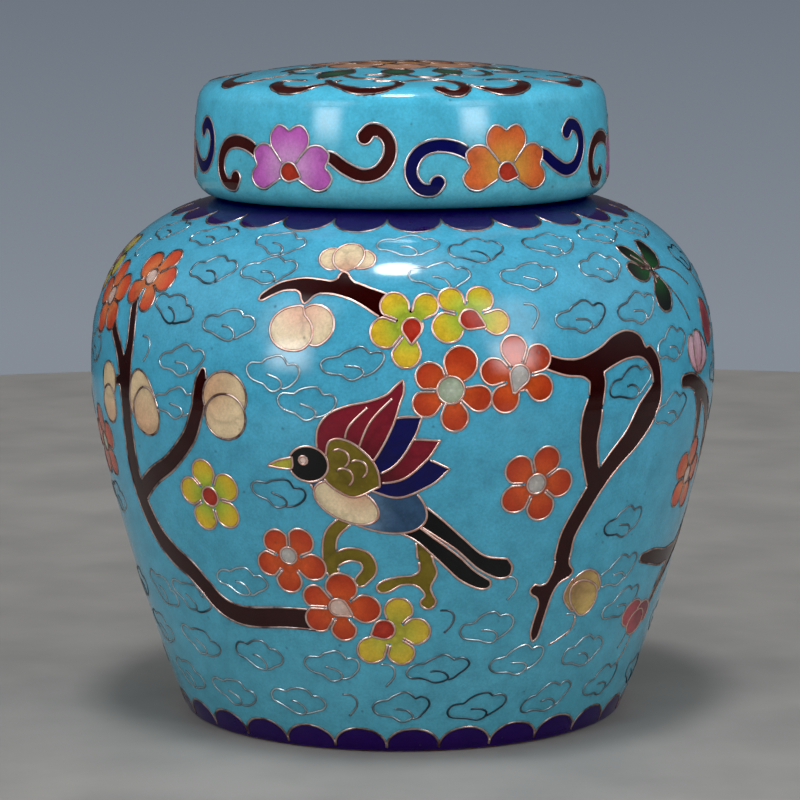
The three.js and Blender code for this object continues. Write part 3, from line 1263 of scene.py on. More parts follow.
@dataclass(frozen=True)
class EnamelFinish:
    """Glossy fired glass, coloured field by field."""

    patches: float = 260.0
    grain: float = 2600.0
    pits: float = 620.0
    waviness: float = 0.00006
    gloss_index: float = 1.46

    def material(self, effects: Effects) -> bpy.types.Material:
        """Makes the material from the shared effects."""
        material, bench, shader = new_material("fired_enamel")
        base = bench.add("ShaderNodeAttribute", attribute_name="enamel").outputs["Color"]
        inputs = {"Colour": base, "Patches": self.patches, "Grain": self.grain, "Pits": self.pits}
        glass = bench.add("ShaderNodeGroup", node_tree=effects.mottle)
        for label, value in inputs.items():
            if label == "Colour":
                bench.tree.links.new(value, glass.inputs[label])
            else:
                glass.inputs[label].default_value = value
        bump = bench.add("ShaderNodeBump", {"Height": glass.outputs["Height"], "Distance": self.waviness})
        bench.tree.links.new(glass.outputs["Colour"], shader.inputs["Base Color"])
        bench.tree.links.new(glass.outputs["Roughness"], shader.inputs["Roughness"])
        bench.tree.links.new(bump.outputs["Normal"], shader.inputs["Normal"])
        shader.inputs["IOR"].default_value = self.gloss_index
        return material


@dataclass(frozen=True)
class GiltFinish:
    """Gilt copper: the wires and the rims."""

    name: str
    gilding: str
    copper: str
    scale: float
    smoothest: float
    roughest: float
    seam: str | None = None

    def material(self, effects: Effects) -> bpy.types.Material:
        """Makes the material from the shared effects."""
        material, bench, shader = new_material(self.name)
        worn = bench.add("ShaderNodeGroup", node_tree=effects.tarnish)
        worn.inputs["Gilding"].default_value = linear(self.gilding)
        worn.inputs["Copper"].default_value = linear(self.copper)
        worn.inputs["Scale"].default_value = self.scale
        worn.inputs["Low roughness"].default_value = self.smoothest
        worn.inputs["High roughness"].default_value = self.roughest
        colour = worn.outputs["Colour"]
        shader.inputs["Metallic"].default_value = 1.0
        if self.seam:
            metal = bench.add("ShaderNodeAttribute", attribute_name="metal").outputs["Fac"]
            mixed = bench.add("ShaderNodeMix", {"Factor": metal}, data_type="RGBA")
            mixed.inputs[6].default_value = linear(self.seam)
            bench.tree.links.new(colour, mixed.inputs[7])
            bench.tree.links.new(metal, shader.inputs["Metallic"])
            colour = mixed.outputs[2]
        bench.tree.links.new(colour, shader.inputs["Base Color"])
        bench.tree.links.new(worn.outputs["Roughness"], shader.inputs["Roughness"])
        return material


class JarDrawing:
    """The jar's decoration: scalloped borders, plum sprays, a bird, and a ground of clouds."""

    BAND_LOBES = 26
    BAND_CUSP = 95.0
    BAND_LOW = 90.7
    BAND_EDGE = 95.5
    BAND_TURN = -3.8
    FOOT_LOBES = 28
    FOOT_CUSP = 1.25
    FOOT_TOP = 4.6
    FOOT_EDGE = 0.95
    FOOT_TURN = -4.2

    UPPER_BRANCH = (
        ((-24.5, 76.2), (-24.1, 77.2), (-21.6, 79.1), (-19.6, 79.8), (-16.8, 80.3), (-14.2, 80.1), (-12.0, 79.8)),
        ((-12.0, 79.8), (-11.2, 80.3), (-10.9, 81.1), (-10.2, 81.6), (-9.4, 81.2), (-8.9, 80.4), (-8.1, 79.7)),
        ((-8.1, 79.7), (-6.6, 79.2), (-4.8, 78.5), (-2.4, 77.6), (2.0, 75.0)),
        ((2.0, 75.0), (0.0, 71.6)),
        ((0.0, 71.6), (-3.8, 74.0), (-5.8, 75.3), (-8.0, 76.5), (-10.0, 77.2), (-12.0, 77.6), (-13.8, 77.6)),
        ((-13.8, 77.6), (-14.8, 77.1), (-15.5, 76.3), (-16.3, 75.8), (-16.9, 76.6), (-17.3, 77.5), (-18.2, 78.1)),
        ((-18.2, 78.1), (-20.2, 77.9), (-22.2, 77.0), (-23.8, 76.1), (-24.5, 76.2)),
    )
    RIGHT_BRANCH = (
        ((21.0, 68.4), (23.6, 67.3), (26.4, 66.5), (29.4, 66.5), (33.2, 67.8), (36.2, 69.4), (39.4, 70.0), (42.2, 69.0),
         (43.4, 66.9)),
        ((43.4, 66.9), (44.8, 67.0), (46.6, 64.6), (47.1, 61.4), (46.9, 58.2), (45.2, 55.0)),
        ((45.2, 55.0), (40.0, 55.4)),
        ((40.0, 55.4), (42.2, 57.7), (44.1, 59.4), (44.8, 61.5), (44.3, 63.5), (42.3, 65.4), (39.0, 65.6), (35.8, 64.8),
         (33.6, 63.9)),
        ((33.6, 63.9), (33.9, 62.2), (33.5, 59.6), (33.0, 56.6)),
        ((33.0, 56.6), (29.4, 56.6)),
        ((29.4, 56.6), (30.5, 60.0), (30.8, 62.6)),
        ((30.8, 62.6), (29.4, 63.5), (26.6, 63.9), (23.8, 64.8), (21.0, 66.0)),
        ((21.0, 66.0), (21.0, 68.4)),
    )
    RIGHT_LEGS = (
        ((45.4, 59.8, 2.9), (43.2, 56.4, 5.0), (40.4, 52.8, 4.2), (37.0, 49.6, 3.5), (34.0, 46.0, 3.2), (31.2, 41.4, 3.0),
         (29.4, 37.6, 2.9), (29.0, 34.2, 3.0)),
        ((32.0, 60.0, 3.0), (31.2, 56.6, 3.9), (31.1, 52.6, 3.3), (32.4, 48.0, 2.8), (33.6, 45.0, 2.6)),
    )
    LOW_TWIG = (
        ((27.7, 36.5), (27.5, 32.2), (26.6, 29.9), (25.4, 29.4), (24.1, 29.6), (23.3, 28.7), (23.8, 27.9), (25.0, 27.2),
         (25.5, 25.8), (25.1, 23.7), (24.8, 21.0), (25.5, 19.4)),
        ((25.5, 19.4), (26.5, 20.2), (27.0, 22.4), (27.6, 25.6), (28.2, 27.8), (29.2, 29.4), (31.2, 30.3), (31.8, 31.4),
         (30.7, 32.8), (30.4, 36.5)),
        ((30.4, 36.5), (27.7, 36.5)),
    )
    EDGE_TWIGS = (
        ((54.4, 60.3, 2.0), (57.5, 60.1, 2.4), (61.0, 58.6, 2.8), (65.0, 56.4, 2.8), (69.5, 52.2, 2.6), (73.0, 46.6, 2.5),
         (77.5, 41.0, 2.6), (80.0, 36.0, 2.8)),
        ((59.8, 58.4, 2.3), (61.5, 55.6, 2.1), (62.3, 52.0, 1.9), (62.8, 47.6, 1.4)),
        ((82.0, 40.0, 2.6), (78.0, 36.0, 2.8), (72.0, 32.0, 2.9), (66.6, 28.6, 2.9), (63.0, 24.8, 2.3), (60.8, 21.8, 1.3)),
        ((68.0, 30.0, 2.4), (61.0, 29.6, 2.8), (55.0, 30.6, 2.6), (50.8, 31.0, 1.5)),
    )
    LEFT_BRANCHES = (
        ((-53.7, 75.0, 1.5), (-52.9, 72.3, 1.9), (-52.1, 69.5, 2.0), (-51.9, 67.0, 2.1), (-52.2, 64.8, 2.6),
         (-52.8, 62.4, 3.6), (-53.0, 59.8, 3.5), (-52.8, 56.6, 2.9), (-53.2, 52.0, 3.0), (-53.8, 46.0, 3.3),
         (-53.0, 40.6, 3.5), (-50.4, 35.6, 3.7), (-46.6, 32.4, 3.8), (-42.8, 30.4, 3.5), (-39.6, 27.7, 3.2),
         (-36.8, 25.2, 3.3), (-33.2, 23.8, 3.4), (-28.8, 23.6, 3.5), (-22.4, 24.1, 3.5), (-15.5, 24.0, 3.6)),
        ((-60.6, 70.8, 1.7), (-58.5, 68.5, 1.9), (-56.6, 66.8, 2.0), (-55.1, 65.0, 2.3), (-53.8, 62.8, 3.0)),
        ((-53.4, 61.2, 2.6), (-56.4, 60.5, 1.0)),
        ((-33.3, 64.3, 1.2), (-33.6, 62.6, 2.3), (-34.0, 60.4, 2.5), (-34.6, 57.6, 2.5), (-37.0, 53.2, 2.6),
         (-42.0, 48.8, 2.6), (-47.5, 45.8, 2.8), (-53.0, 42.0, 3.0)),
    )
    CLOUDS = (
        (-60, 88, 12), (-43, 88, 6), (-25, 87.5, -8), (1, 87.4, -4), (14, 86, 4), (30, 86.6, -6), (45, 88, -4),
        (60, 88, -14), (-36.4, 81, 4), (-24.6, 81.6, 4), (6.4, 81, -6), (22.6, 80.4, -4), (38.4, 81, 0), (-42, 73.8, -18),
        (-29.4, 72, -2), (30.4, 73, 2), (43.2, 73.4, 4), (-69, 65, 0), (-38.2, 65.8, 2), (-20.6, 65, -2), (-7.8, 66.8, 2),
        (51, 66.8, 8), (-39.4, 59, 0), (-15, 60.6, -4), (39.4, 61.8, 8), (50.4, 56.4, 6), (70, 80, -20), (-30.6, 30, -8),
        (43.6, 29.8, 14), (-55, 25.4, -28), (-45, 25.6, -22), (15.6, 22.8, 10), (47.4, 23.6, 14), (-63, 17.4, -20),
        (-46, 17.4, -20), (-30, 17, -8), (-14.2, 16.2, -2), (6.6, 15.8, 2), (22.8, 16.4, 8), (39, 16.2, 8),
        (-55.6, 10, -20), (-39.6, 9, -14), (-22.8, 9.2, -10), (-0.6, 8.9, 4), (15.4, 8.4, 6), (31.8, 8.6, 12),
        (48.4, 9.4, 14),
    )
    LEAVES = (
        (((46.4, 84.6), (48.6, 84.4), (50.3, 83.2), (51.2, 81.8), (51.7, 79.8)),
         ((51.7, 79.8), (49.4, 80.3), (47.2, 81.6), (46.2, 83.2), (46.4, 84.6))),
        (((54.0, 85.0), (56.0, 84.9), (57.2, 83.2), (57.2, 81.3), (55.6, 79.8), (51.8, 79.0)),
         ((51.8, 79.0), (51.7, 80.6), (52.4, 82.2), (53.0, 83.6), (54.0, 85.0))),
        (((45.6, 80.8), (45.0, 79.8), (45.8, 78.2), (47.6, 77.4), (49.8, 77.8), (52.0, 79.4)),
         ((52.0, 79.4), (49.6, 79.8), (47.8, 80.8), (46.6, 81.1), (45.6, 80.8))),
        (((52.2, 79.4), (53.6, 77.2), (54.6, 75.4), (54.2, 73.8), (53.0, 72.3), (51.8, 71.9)),
         ((51.8, 71.9), (50.4, 72.1), (49.3, 73.3), (49.5, 75.2), (50.6, 76.8), (52.2, 79.4))),
    )
    HOOKS = ((-64, 83.3, 190), (-47.2, 66.4, 0), (21.2, 73.3, 0), (-3.2, 14.4, 0), (-11.2, 8.7, 0), (19.2, 29.2, 0),
             (7.8, 24.0, 0), (33.4, 21.4, 0), (51.4, 16.6, 0))

    BLOSSOMS = (
        Blossom((1.2, 72.6), Enamel.YELLOW, ((-2.3, 3.1, 2.2), (2.5, 3.2, 1.9), (-3.7, -1.1, 2.4), (-0.6, -4.4, 2.2)),
                (0.3, -0.4, 1.55), Enamel.HEART_RED, (0.2, -2.7)),
        Blossom((10.8, 73.8), Enamel.YELLOW, ((-2.6, 2.8, 2.0), (1.9, 2.8, 2.1), (4.2, -0.9, 2.0), (-3.5, -1.6, 2.4)),
                (0.0, -0.4, 1.6), Enamel.HEART_RED, (2.2, -1.5)),
        Blossom((7.4, 62.6), Enamel.RED,
                ((1.6, 4.1, 2.6), (-3.2, 2.1, 2.2), (-3.8, -2.0, 2.1), (4.4, -1.4, 2.0), (0.6, -4.3, 2.1)),
                (0.0, 0.0, 2.1), Enamel.HEART_GREEN),
        Blossom((18.2, 64.0), Enamel.RED,
                ((-0.6, 4.6, 2.1), (3.4, 3.0, 2.1), (3.6, -1.6, 2.1), (-2.2, -3.0, 2.2), (-4.0, 1.2, 2.1)),
                (0.2, 0.5, 1.6), Enamel.HEART_GREY, (-0.8, -2.1)),
        Blossom((-20.0, 34.3), Enamel.RED,
                ((-3.4, -0.7, 2.1), (-0.4, -3.4, 2.1), (3.8, -0.9, 2.2), (2.2, 3.4, 2.2), (-1.8, 3.0, 2.2)),
                (0.0, 0.9, 1.4), Enamel.HEART_GREY),
        Blossom((-11.4, 26.5), Enamel.RED,
                ((-3.9, 1.8, 2.0), (0.4, 3.6, 2.5), (4.0, 0.0, 2.4), (0.3, -3.7, 2.0), (-3.6, -2.1, 2.2)),
                (-0.3, 0.1, 1.5), Enamel.HEART_PINK, (1.7, -1.2)),
        Blossom((-2.0, 22.4), Enamel.GOLD, ((1.0, 3.9, 2.2), (3.6, 0.2, 2.3), (1.3, -3.6, 2.1), (-3.3, -3.2, 2.3)),
                (-1.3, 0.5, 1.7), Enamel.HEART_RED, (-3.2, -0.5)),
        Blossom((-75.4, 79.4), Enamel.YELLOW, round_petals(0.95, 60.0), (0.0, 0.0, 1.5), Enamel.HEART_RED),
        Blossom((-51.4, 78.1), Enamel.ORANGE_RED,
                ((-2.0, 2.1, 2.6), (2.6, 3.7, 2.1), (4.2, 0.2, 2.3), (-3.2, -2.7, 2.1), (1.5, -3.6, 2.1)),
                (0.0, 0.2, 1.4), Enamel.HEART_PINK, gap=0.2),
        Blossom((-64.2, 73.5), Enamel.ORANGE_RED, round_petals(1.05, 100.0), (0.0, 0.2, 1.6),
                Enamel.HEART_PINK, gap=0.2),
    )
    HIDDEN_BLOSSOMS = (
        Blossom((22.0, 47.0), Enamel.RED, round_petals(1.0, 70.0), (0.0, 0.0, 1.6), Enamel.HEART_GREY),
        Blossom((-34.0, 44.0), Enamel.YELLOW, round_petals(0.98, 100.0), (0.0, 0.0, 1.6), Enamel.HEART_RED),
        Blossom((62.8, 43.6), Enamel.ORANGE_RED, round_petals(1.0, 80.0), (0.0, 0.0, 1.6), Enamel.HEART_PINK),
        Blossom((-67.0, 49.0), Enamel.RED, round_petals(1.0, 95.0), (0.0, 0.0, 1.6), Enamel.HEART_GREEN),
    )

    def __init__(self, chart: Chart) -> None:
        """Lays everything, from what lies under to what lies over."""
        self.drawing = Drawing(chart)
        self.clouds = CloudNet(self.drawing)
        for x, y, tilt in self.CLOUDS:
            self.clouds.cloud((x, y), tilt)
        for x, y, tilt in self.HOOKS:
            self.clouds.hook((x, y), tilt)
        self.borders()
        self.front()
        self.back()
        self.clouds.fill(39.0, 57.0, -80.0, 80.0)
        self.clouds.fill(9.0, 90.0, 66.0, 262.0)
        self.clouds.fill(9.0, 90.0, -82.0, 66.0)

    def borders(self) -> None:
        """Lays the scalloped bands under the cap and round the foot."""
        bands = (
            (self.BAND_LOBES, self.BAND_TURN, self.BAND_EDGE, self.BAND_CUSP, self.BAND_LOW),
            (self.FOOT_LOBES, self.FOOT_TURN, self.FOOT_EDGE, self.FOOT_CUSP, self.FOOT_TOP),
        )
        drawing = self.drawing
        for lobes, turn, edge, cusp, tip in bands:
            pitch = 2 * math.pi / lobes * drawing.chart.girth
            for i in range(lobes):
                left = math.radians(turn) * drawing.chart.girth + i * pitch
                rounding = arc((left + pitch / 2, cusp), (pitch / 2, tip - cusp), 180, 0, 26)
                sides = [[(left, edge)], rounding, [(left + pitch, edge)]]
                straight = np.stack([np.linspace(left + pitch, left, 9)[1:-1], np.full(7, edge)], axis=1)
                flat = drawing.flat(np.vstack([*sides, straight]))
                drawing.lay(flat, Enamel.PURPLE, wired=False)
                drawing.line(drawing.flat(rounding), 0.32, "border")
                if edge < cusp:
                    stub = np.array([[left, edge], [left, cusp + 0.7]])
                    drawing.line(drawing.flat(stub), 0.4, "border")

    def branch(self, spines: Sequence, *outlines: Sequence) -> None:
        """Lays a branch and its spurs as one outline.

        Args:
            spines: The parts drawn as ribbons.
            outlines: The parts drawn by their edges.
        """
        family = self.drawing.family()
        for spine in spines:
            self.drawing.ribbon(Enamel.BARK, spine, family=family)
        for outline in outlines:
            self.drawing.patch(Enamel.BARK, *outline, family=family)

    def bud(self, enamel: Enamel, stem: Pair, lobes: Sequence[Sequence[Pair]], near: float = 1.0,
            far: float = 5.0) -> None:
        """Lays a bud's lobes, coloured away from its stem.

        Args:
            enamel: What it is filled with.
            stem: The chart place that it grows from.
            lobes: Each lobe's outline, from the one behind to the one in front.
            near: How far the heart colour reaches from the stem.
            far: How far from the stem the edge colour begins.
        """
        focus = self.drawing.flat([stem])[0]
        for lobe in lobes:
            self.drawing.blob(enamel, lobe, focus=focus, near=near, far=far)

    def disc(self, x: float, y: float, across: float, up: float, tilt: float = 0.0) -> list[Pair]:
        """Chart places round an oval of half widths in millimetres."""
        ring = arc((0.0, 0.0), (across, up), 0, 330, 12)
        return [tuple(place) for place in self.drawing.chart.around((x, y), ring, tilt)]

    def leaf(self, base: Pair, tip: Pair, width: float) -> None:
        """Lays a pointed leaf, green at its base and dark at its tip."""
        start = np.array(base)
        way = np.array(tip) - start
        side = np.array([-way[1], way[0]]) / np.linalg.norm(way) * width / 2
        left = [base, tuple(start + 0.35 * way + 0.8 * side), tuple(start + 0.7 * way + side), tip]
        right = [tip, tuple(start + 0.75 * way - side), tuple(start + 0.35 * way - 0.8 * side), base]
        length = float(np.linalg.norm(way))
        self.drawing.patch(Enamel.LEAF, left, right, focus=self.drawing.flat([base])[0], near=0.2 * length,
                           far=0.8 * length)

    def tendrils(self, *runs: Sequence[Pair]) -> None:
        """Lays thin wires through chart places."""
        for run in runs:
            self.drawing.line(smooth(self.drawing.flat(run)), 0.3)

    def front(self) -> None:
        """Lays the front's sprays and its bird."""
        drawing = self.drawing
        drawing.wire_kind = "border"
        self.branch(self.LEFT_BRANCHES)
        self.bud(Enamel.PALE_CREAM, (-59.0, 54.0), (self.disc(-59.4, 60.4, 3.0, 2.9), self.disc(-59.6, 56.4, 2.8, 3.1)))
        right = ((-51.2, 57.0), (-51.3, 59.6), (-50.6, 62.0), (-48.8, 63.2), (-46.8, 62.6), (-45.4, 61.2), (-44.2, 59.2),
                 (-43.4, 57.2), (-43.6, 55.0), (-46.0, 53.8), (-49.2, 54.4))
        inner = ((-50.2, 57.4), (-49.0, 59.4), (-47.4, 60.5), (-45.4, 60.2), (-44.0, 58.4), (-43.2, 56.0), (-44.4, 53.6),
                 (-47.0, 52.8), (-49.6, 54.2))
        self.bud(Enamel.PALE_CREAM, (-48.4, 53.6), (right, inner), 1.5, 8.0)
        self.bud(Enamel.PALE_CREAM, (-33.0, 62.0), (self.disc(-29.1, 60.6, 4.1, 4.0), self.disc(-29.0, 57.5, 3.8, 3.6)),
                 1.0, 7.0)
        self.branch(self.EDGE_TWIGS)
        drawing.wire_kind = "spray"
        self.bird()
        self.branch(self.RIGHT_LEGS, self.RIGHT_BRANCH, self.LOW_TWIG)
        self.branch((), self.UPPER_BRANCH)
        top = (-9.8, 81.6)
        self.bud(Enamel.CREAM, top, (self.disc(-12.8, 84.2, 2.1, 2.3, 30), self.disc(-7.6, 84.2, 2.4, 2.0, -20),
                                     self.disc(-9.9, 84.7, 2.4, 2.9, -10)), 0.0, 4.6)
        low = (-16.4, 75.4)
        left = ((-16.4, 75.4), (-17.8, 75.4), (-19.6, 74.8), (-20.9, 73.7), (-21.5, 72.3), (-21.4, 70.9), (-20.6, 69.6),
                (-19.2, 68.7), (-17.4, 68.4), (-15.8, 68.7), (-14.6, 69.8), (-14.3, 71.2), (-14.7, 72.8), (-15.8, 74.0))
        right = ((-16.2, 74.6), (-15.2, 75.6), (-13.6, 75.7), (-12.2, 75.1), (-11.2, 74.0), (-10.9, 72.5), (-11.3, 71.0),
                 (-12.4, 69.8), (-13.6, 69.3), (-15.2, 69.8), (-16.0, 72.0))
        self.bud(Enamel.CREAM, low, (right, left), 1.2, 5.8)
        for blossom in self.BLOSSOMS + self.HIDDEN_BLOSSOMS:
            drawing.wire_kind = "border" if abs(blossom.place[0] - 5.0) > 50.0 else "spray"
            blossom.lay(drawing)
        drawing.wire_kind = "border"
        family = drawing.family()
        for edges in self.LEAVES:
            drawing.patch(Enamel.LEAF, *edges, focus=drawing.flat([(51.8, 79.2)])[0], near=1.6, far=5.6, family=family)
        for run in (((48.4, 82.4), (51.6, 79.7)), ((51.9, 82.2), (52.0, 79.4)), ((49.0, 79.8), (51.4, 79.2)),
                    ((51.4, 76.8), (52.0, 78.6)), ((52.6, 77.4), (52.4, 78.6))):
            drawing.line(drawing.flat(run), 0.36)
        self.tendrils([(53.0, 79.2), (56.6, 79.2), (60.6, 77.9), (64.0, 75.3)],
                      [(52.8, 78.1), (55.6, 75.1), (57.6, 72.2), (58.9, 69.7)],
                      [(69.4, 77.6), (71.6, 74.8), (73.6, 72.2), (74.6, 69.0)],
                      [(34.6, 23.0), (34.2, 20.8), (31.4, 19.2), (29.4, 18.4)],
                      [(56.0, 16.6), (54.6, 13.6), (52.6, 11.8)])
        drawing.patch(Enamel.BERRY, [(66.8, 72.6), (65.2, 69.6), (65.4, 66.6), (67.0, 64.4)],
                      [(67.0, 64.4), (70.6, 65.8), (71.6, 68.6), (69.8, 71.8), (66.8, 72.6)])
        self.bud(Enamel.PINK, (60.8, 60.6), (
            [(58.0, 67.4), (56.5, 66.2), (56.4, 64.6), (57.6, 62.6), (60.4, 60.8), (60.2, 63.4), (59.8, 66.2)],
            [(62.0, 67.6), (64.6, 65.6), (65.6, 63.6), (64.4, 62.0), (61.0, 60.8), (61.8, 63.4), (61.8, 65.8)],
            [(59.4, 67.5), (60.8, 67.9), (62.4, 67.3), (62.9, 65.6), (62.6, 63.4), (60.8, 60.9), (59.3, 63.2), (58.9, 65.6)],
        ), 0.5, 6.0)
        drawing.wire_kind = "spray"
        self.bud(Enamel.DULL_CREAM, (32.4, 29.0), (
            [(32.6, 29.8), (31.4, 28.8), (30.8, 27.0), (31.6, 25.6), (33.4, 24.1), (34.6, 24.4), (33.4, 27.0)],
            [(32.6, 29.4), (34.0, 30.7), (36.0, 31.0), (38.2, 29.9), (39.4, 27.8), (38.6, 26.8), (35.4, 27.4)],
            [(32.2, 28.2), (34.0, 29.3), (36.2, 29.0), (38.6, 27.6), (39.0, 25.2), (37.6, 23.3), (35.7, 23.0), (34.0, 24.2),
             (32.5, 26.0)],
        ), 0.8, 6.5)
        self.bud(Enamel.BERRY, (59.0, 22.0), (self.disc(52.9, 20.9, 2.9, 2.3, 10), self.disc(58.2, 20.3, 2.8, 2.0, -20),
                                              self.disc(55.8, 18.9, 2.8, 2.2, 8)), 0.5, 7.0)

    def bird(self) -> None:
        """Lays the small bird on the front: tail, body, wing, head and feet."""
        drawing = self.drawing
        family = drawing.family()
        drawing.ribbon(Enamel.OLIVE, ((-9.0, 42.0, 1.9), (-12.0, 39.0, 2.1), (-12.6, 35.0, 2.2), (-12.2, 32.7, 1.9)),
                       family=family)
        drawing.ribbon(Enamel.OLIVE, ((-12.4, 34.2, 2.0), (-10.8, 35.3, 2.1), (-8.6, 35.9, 2.2), (-6.4, 35.2, 2.2),
                                      (-5.8, 33.2, 2.2), (-7.4, 31.3, 1.9)), family=family)
        family = drawing.family()
        drawing.ribbon(Enamel.OLIVE, ((1.0, 42.0, 2.0), (3.0, 39.0, 2.1), (3.6, 35.6, 2.2)), family=family)
        drawing.blob(Enamel.OLIVE, (
            (2.5, 36.6), (4.6, 36.0), (5.2, 34.5), (5.8, 32.6), (4.8, 30.4), (5.2, 29.0), (5.8, 27.9), (5.4, 26.9),
            (4.4, 26.5), (3.4, 26.9), (3.0, 27.8), (3.8, 28.8), (3.2, 29.9), (1.6, 30.8), (-0.4, 30.7), (-2.4, 29.6),
            (-4.2, 29.5), (-4.6, 30.6), (-3.0, 31.6), (-0.6, 32.2), (1.6, 32.4), (2.8, 33.4),
        ), family=family)
        for edges in (
            ([(-2.0, 48.0), (5.0, 43.0), (10.0, 38.6), (14.0, 35.4), (18.2, 34.6)],
             [(18.2, 34.6), (19.2, 33.2), (18.8, 31.6), (16.6, 31.4), (13.0, 33.2), (9.0, 36.6), (4.0, 40.0), (-2.0, 44.0),
              (-2.0, 48.0)]),
            ([(-3.0, 45.0), (4.0, 39.6), (9.6, 35.4), (12.4, 32.9), (15.4, 31.0)],
             [(15.4, 31.0), (15.5, 30.1), (14.4, 29.6), (12.6, 30.0), (9.6, 31.6), (6.0, 34.9), (2.0, 38.4), (-3.0, 41.0),
              (-3.0, 45.0)]),
        ):
            drawing.patch(Enamel.BLACK, *edges)
        body = self.disc(-5.6, 45.6, 9.6, 5.0, -24)
        drawing.blob(Enamel.SLATE, body, focus=drawing.flat([(-9.0, 42.0)])[0], near=2.0, far=9.0)
        drawing.blob(Enamel.CREAM, self.disc(-9.2, 44.6, 5.4, 3.0, -26), focus=drawing.flat([(-7.0, 47.0)])[0], near=0.5,
                     far=5.0)
        root = (-7.6, 47.6)
        feathers = (
            (Enamel.NAVY, [root, (-3.0, 51.6), (2.0, 52.4), (7.4, 50.2)], [(7.4, 50.2), (4.4, 47.6), (-1.0, 45.6), root]),
            (Enamel.CRIMSON, [root, (-4.2, 52.0), (0.6, 54.8), (5.8, 54.8)], [(5.8, 54.8), (3.6, 51.6), (-0.6, 48.4), root]),
            (Enamel.NAVY, [root, (-5.6, 54.0), (-2.0, 58.0), (3.0, 58.6)], [(3.0, 58.6), (1.6, 55.0), (-1.6, 50.6), root]),
            (Enamel.CRIMSON, [root, (-12.6, 51.6), (-13.4, 55.6), (-11.8, 58.6), (-8.8, 60.1), (-5.4, 60.9), (-2.6, 61.9),
                              (-1.2, 63.2), (0.1, 64.3)],
             [(0.1, 64.3), (0.2, 62.4), (-0.4, 60.6), (-1.6, 57.0), (-4.0, 52.4), root]),
        )
        for enamel, *edges in feathers:
            drawing.patch(enamel, *edges, focus=drawing.flat([root])[0], near=2.0, far=12.0)
        self.tendrils([(-1.6, 61.4), (-5.2, 57.4), (-7.4, 52.0)], [(-5.4, 60.0), (-8.6, 56.4), (-9.0, 52.0)])
        drawing.patch(Enamel.OLIVE, [(-12.2, 51.4), (-11.4, 54.6), (-8.6, 54.8), (-5.6, 52.6), (-4.0, 50.2), (-3.6, 47.4)],
                      [(-3.6, 47.4), (-8.0, 45.6), (-12.2, 48.0), (-12.2, 51.4)])
        for x, y in ((-9.9, 51.9), (-7.1, 50.2), (-9.4, 48.8)):
            drawing.line(drawing.flat(drawing.chart.around((x, y), arc((0.0, 0.0), (1.5, 1.5), -60, 130, 12))), 0.3)
        drawing.blob(Enamel.BLACK, self.disc(-15.0, 50.8, 3.2, 2.9))
        drawing.patch(Enamel.GOLD, [(-17.6, 51.8), (-20.0, 51.2), (-22.0, 50.2)], [(-22.0, 50.2), (-19.6, 49.9), (-17.8, 50.0), (-17.6, 51.8)])
        drawing.blob(Enamel.HEART_PINK, self.disc(-15.8, 51.4, 0.7, 0.7))

    def back(self) -> None:
        """Lays the back's spray: the front's branches and blossoms, mirrored and plainer."""
        drawing = self.drawing
        drawing.shift = math.pi * drawing.chart.girth + 4.0
        drawing.flip = -1.0
        self.branch((
            ((-30.0, 30.0, 1.4), (-26.0, 38.0, 2.2), (-18.0, 45.0, 2.9), (-8.0, 50.0, 3.2), (2.0, 56.0, 3.2),
             (10.0, 62.0, 2.8), (20.0, 66.0, 2.4), (30.0, 71.0, 1.8), (38.0, 78.0, 1.0)),
            ((-20.0, 44.0, 2.2), (-22.0, 52.0, 1.9), (-26.0, 60.0, 1.6), (-32.0, 67.0, 1.2), (-34.0, 74.0, 0.9)),
            ((3.0, 57.0, 2.2), (0.0, 65.0, 1.8), (1.0, 73.0, 1.4), (-3.0, 79.0, 0.9)),
            ((-12.0, 48.0, 2.2), (-2.0, 43.0, 1.9), (8.0, 40.0, 1.6), (16.0, 34.0, 1.2), (20.0, 27.0, 0.8)),
        ))
        for x, y, enamel, heart, turn in (
            (22.0, 67.0, Enamel.RED, Enamel.HEART_GREEN, 84.0), (31.0, 62.0, Enamel.YELLOW, Enamel.HEART_RED, 70.0),
            (-30.0, 66.0, Enamel.ORANGE_RED, Enamel.HEART_PINK, 96.0), (-1.0, 68.0, Enamel.RED, Enamel.HEART_GREY, 60.0),
            (9.0, 39.0, Enamel.YELLOW, Enamel.HEART_RED, 110.0), (17.6, 33.0, Enamel.RED, Enamel.HEART_PINK, 82.0),
            (-12.0, 47.6, Enamel.RED, Enamel.HEART_GREEN, 100.0),
        ):
            Blossom((x, y), enamel, round_petals(1.0, turn), (0.0, 0.0, 1.6), heart).lay(drawing)
        for x, y, tilt in ((-3.4, 81.6, 10), (38.4, 80.6, -14), (-34.2, 77.0, 12), (20.4, 24.6, 170), (-31.0, 27.2, 160)):
            stem = drawing.chart.around((x, y), [(0.0, -2.6)], tilt)[0]
            lobes = [drawing.chart.around((x, y), arc(centre, radii, 0, 330, 12), tilt)
                     for centre, radii in (((-1.5, 0.0), (1.8, 2.4)), ((1.5, 0.0), (1.8, 2.4)), ((0.0, 0.3), (2.0, 2.8)))]
            self.bud(Enamel.CREAM, tuple(stem), lobes, 0.0, 4.8)
        for base, tip in (((12.0, 62.0), (16.0, 56.0)), ((11.0, 62.6), (6.0, 66.0)), ((-25.0, 58.0), (-19.0, 61.0)),
                          ((-24.4, 57.0), (-29.0, 53.0)), ((30.0, 72.0), (26.0, 77.0))):
            self.leaf(base, tip, 2.4)
        drawing.shift = 0.0
        drawing.flip = 1.0


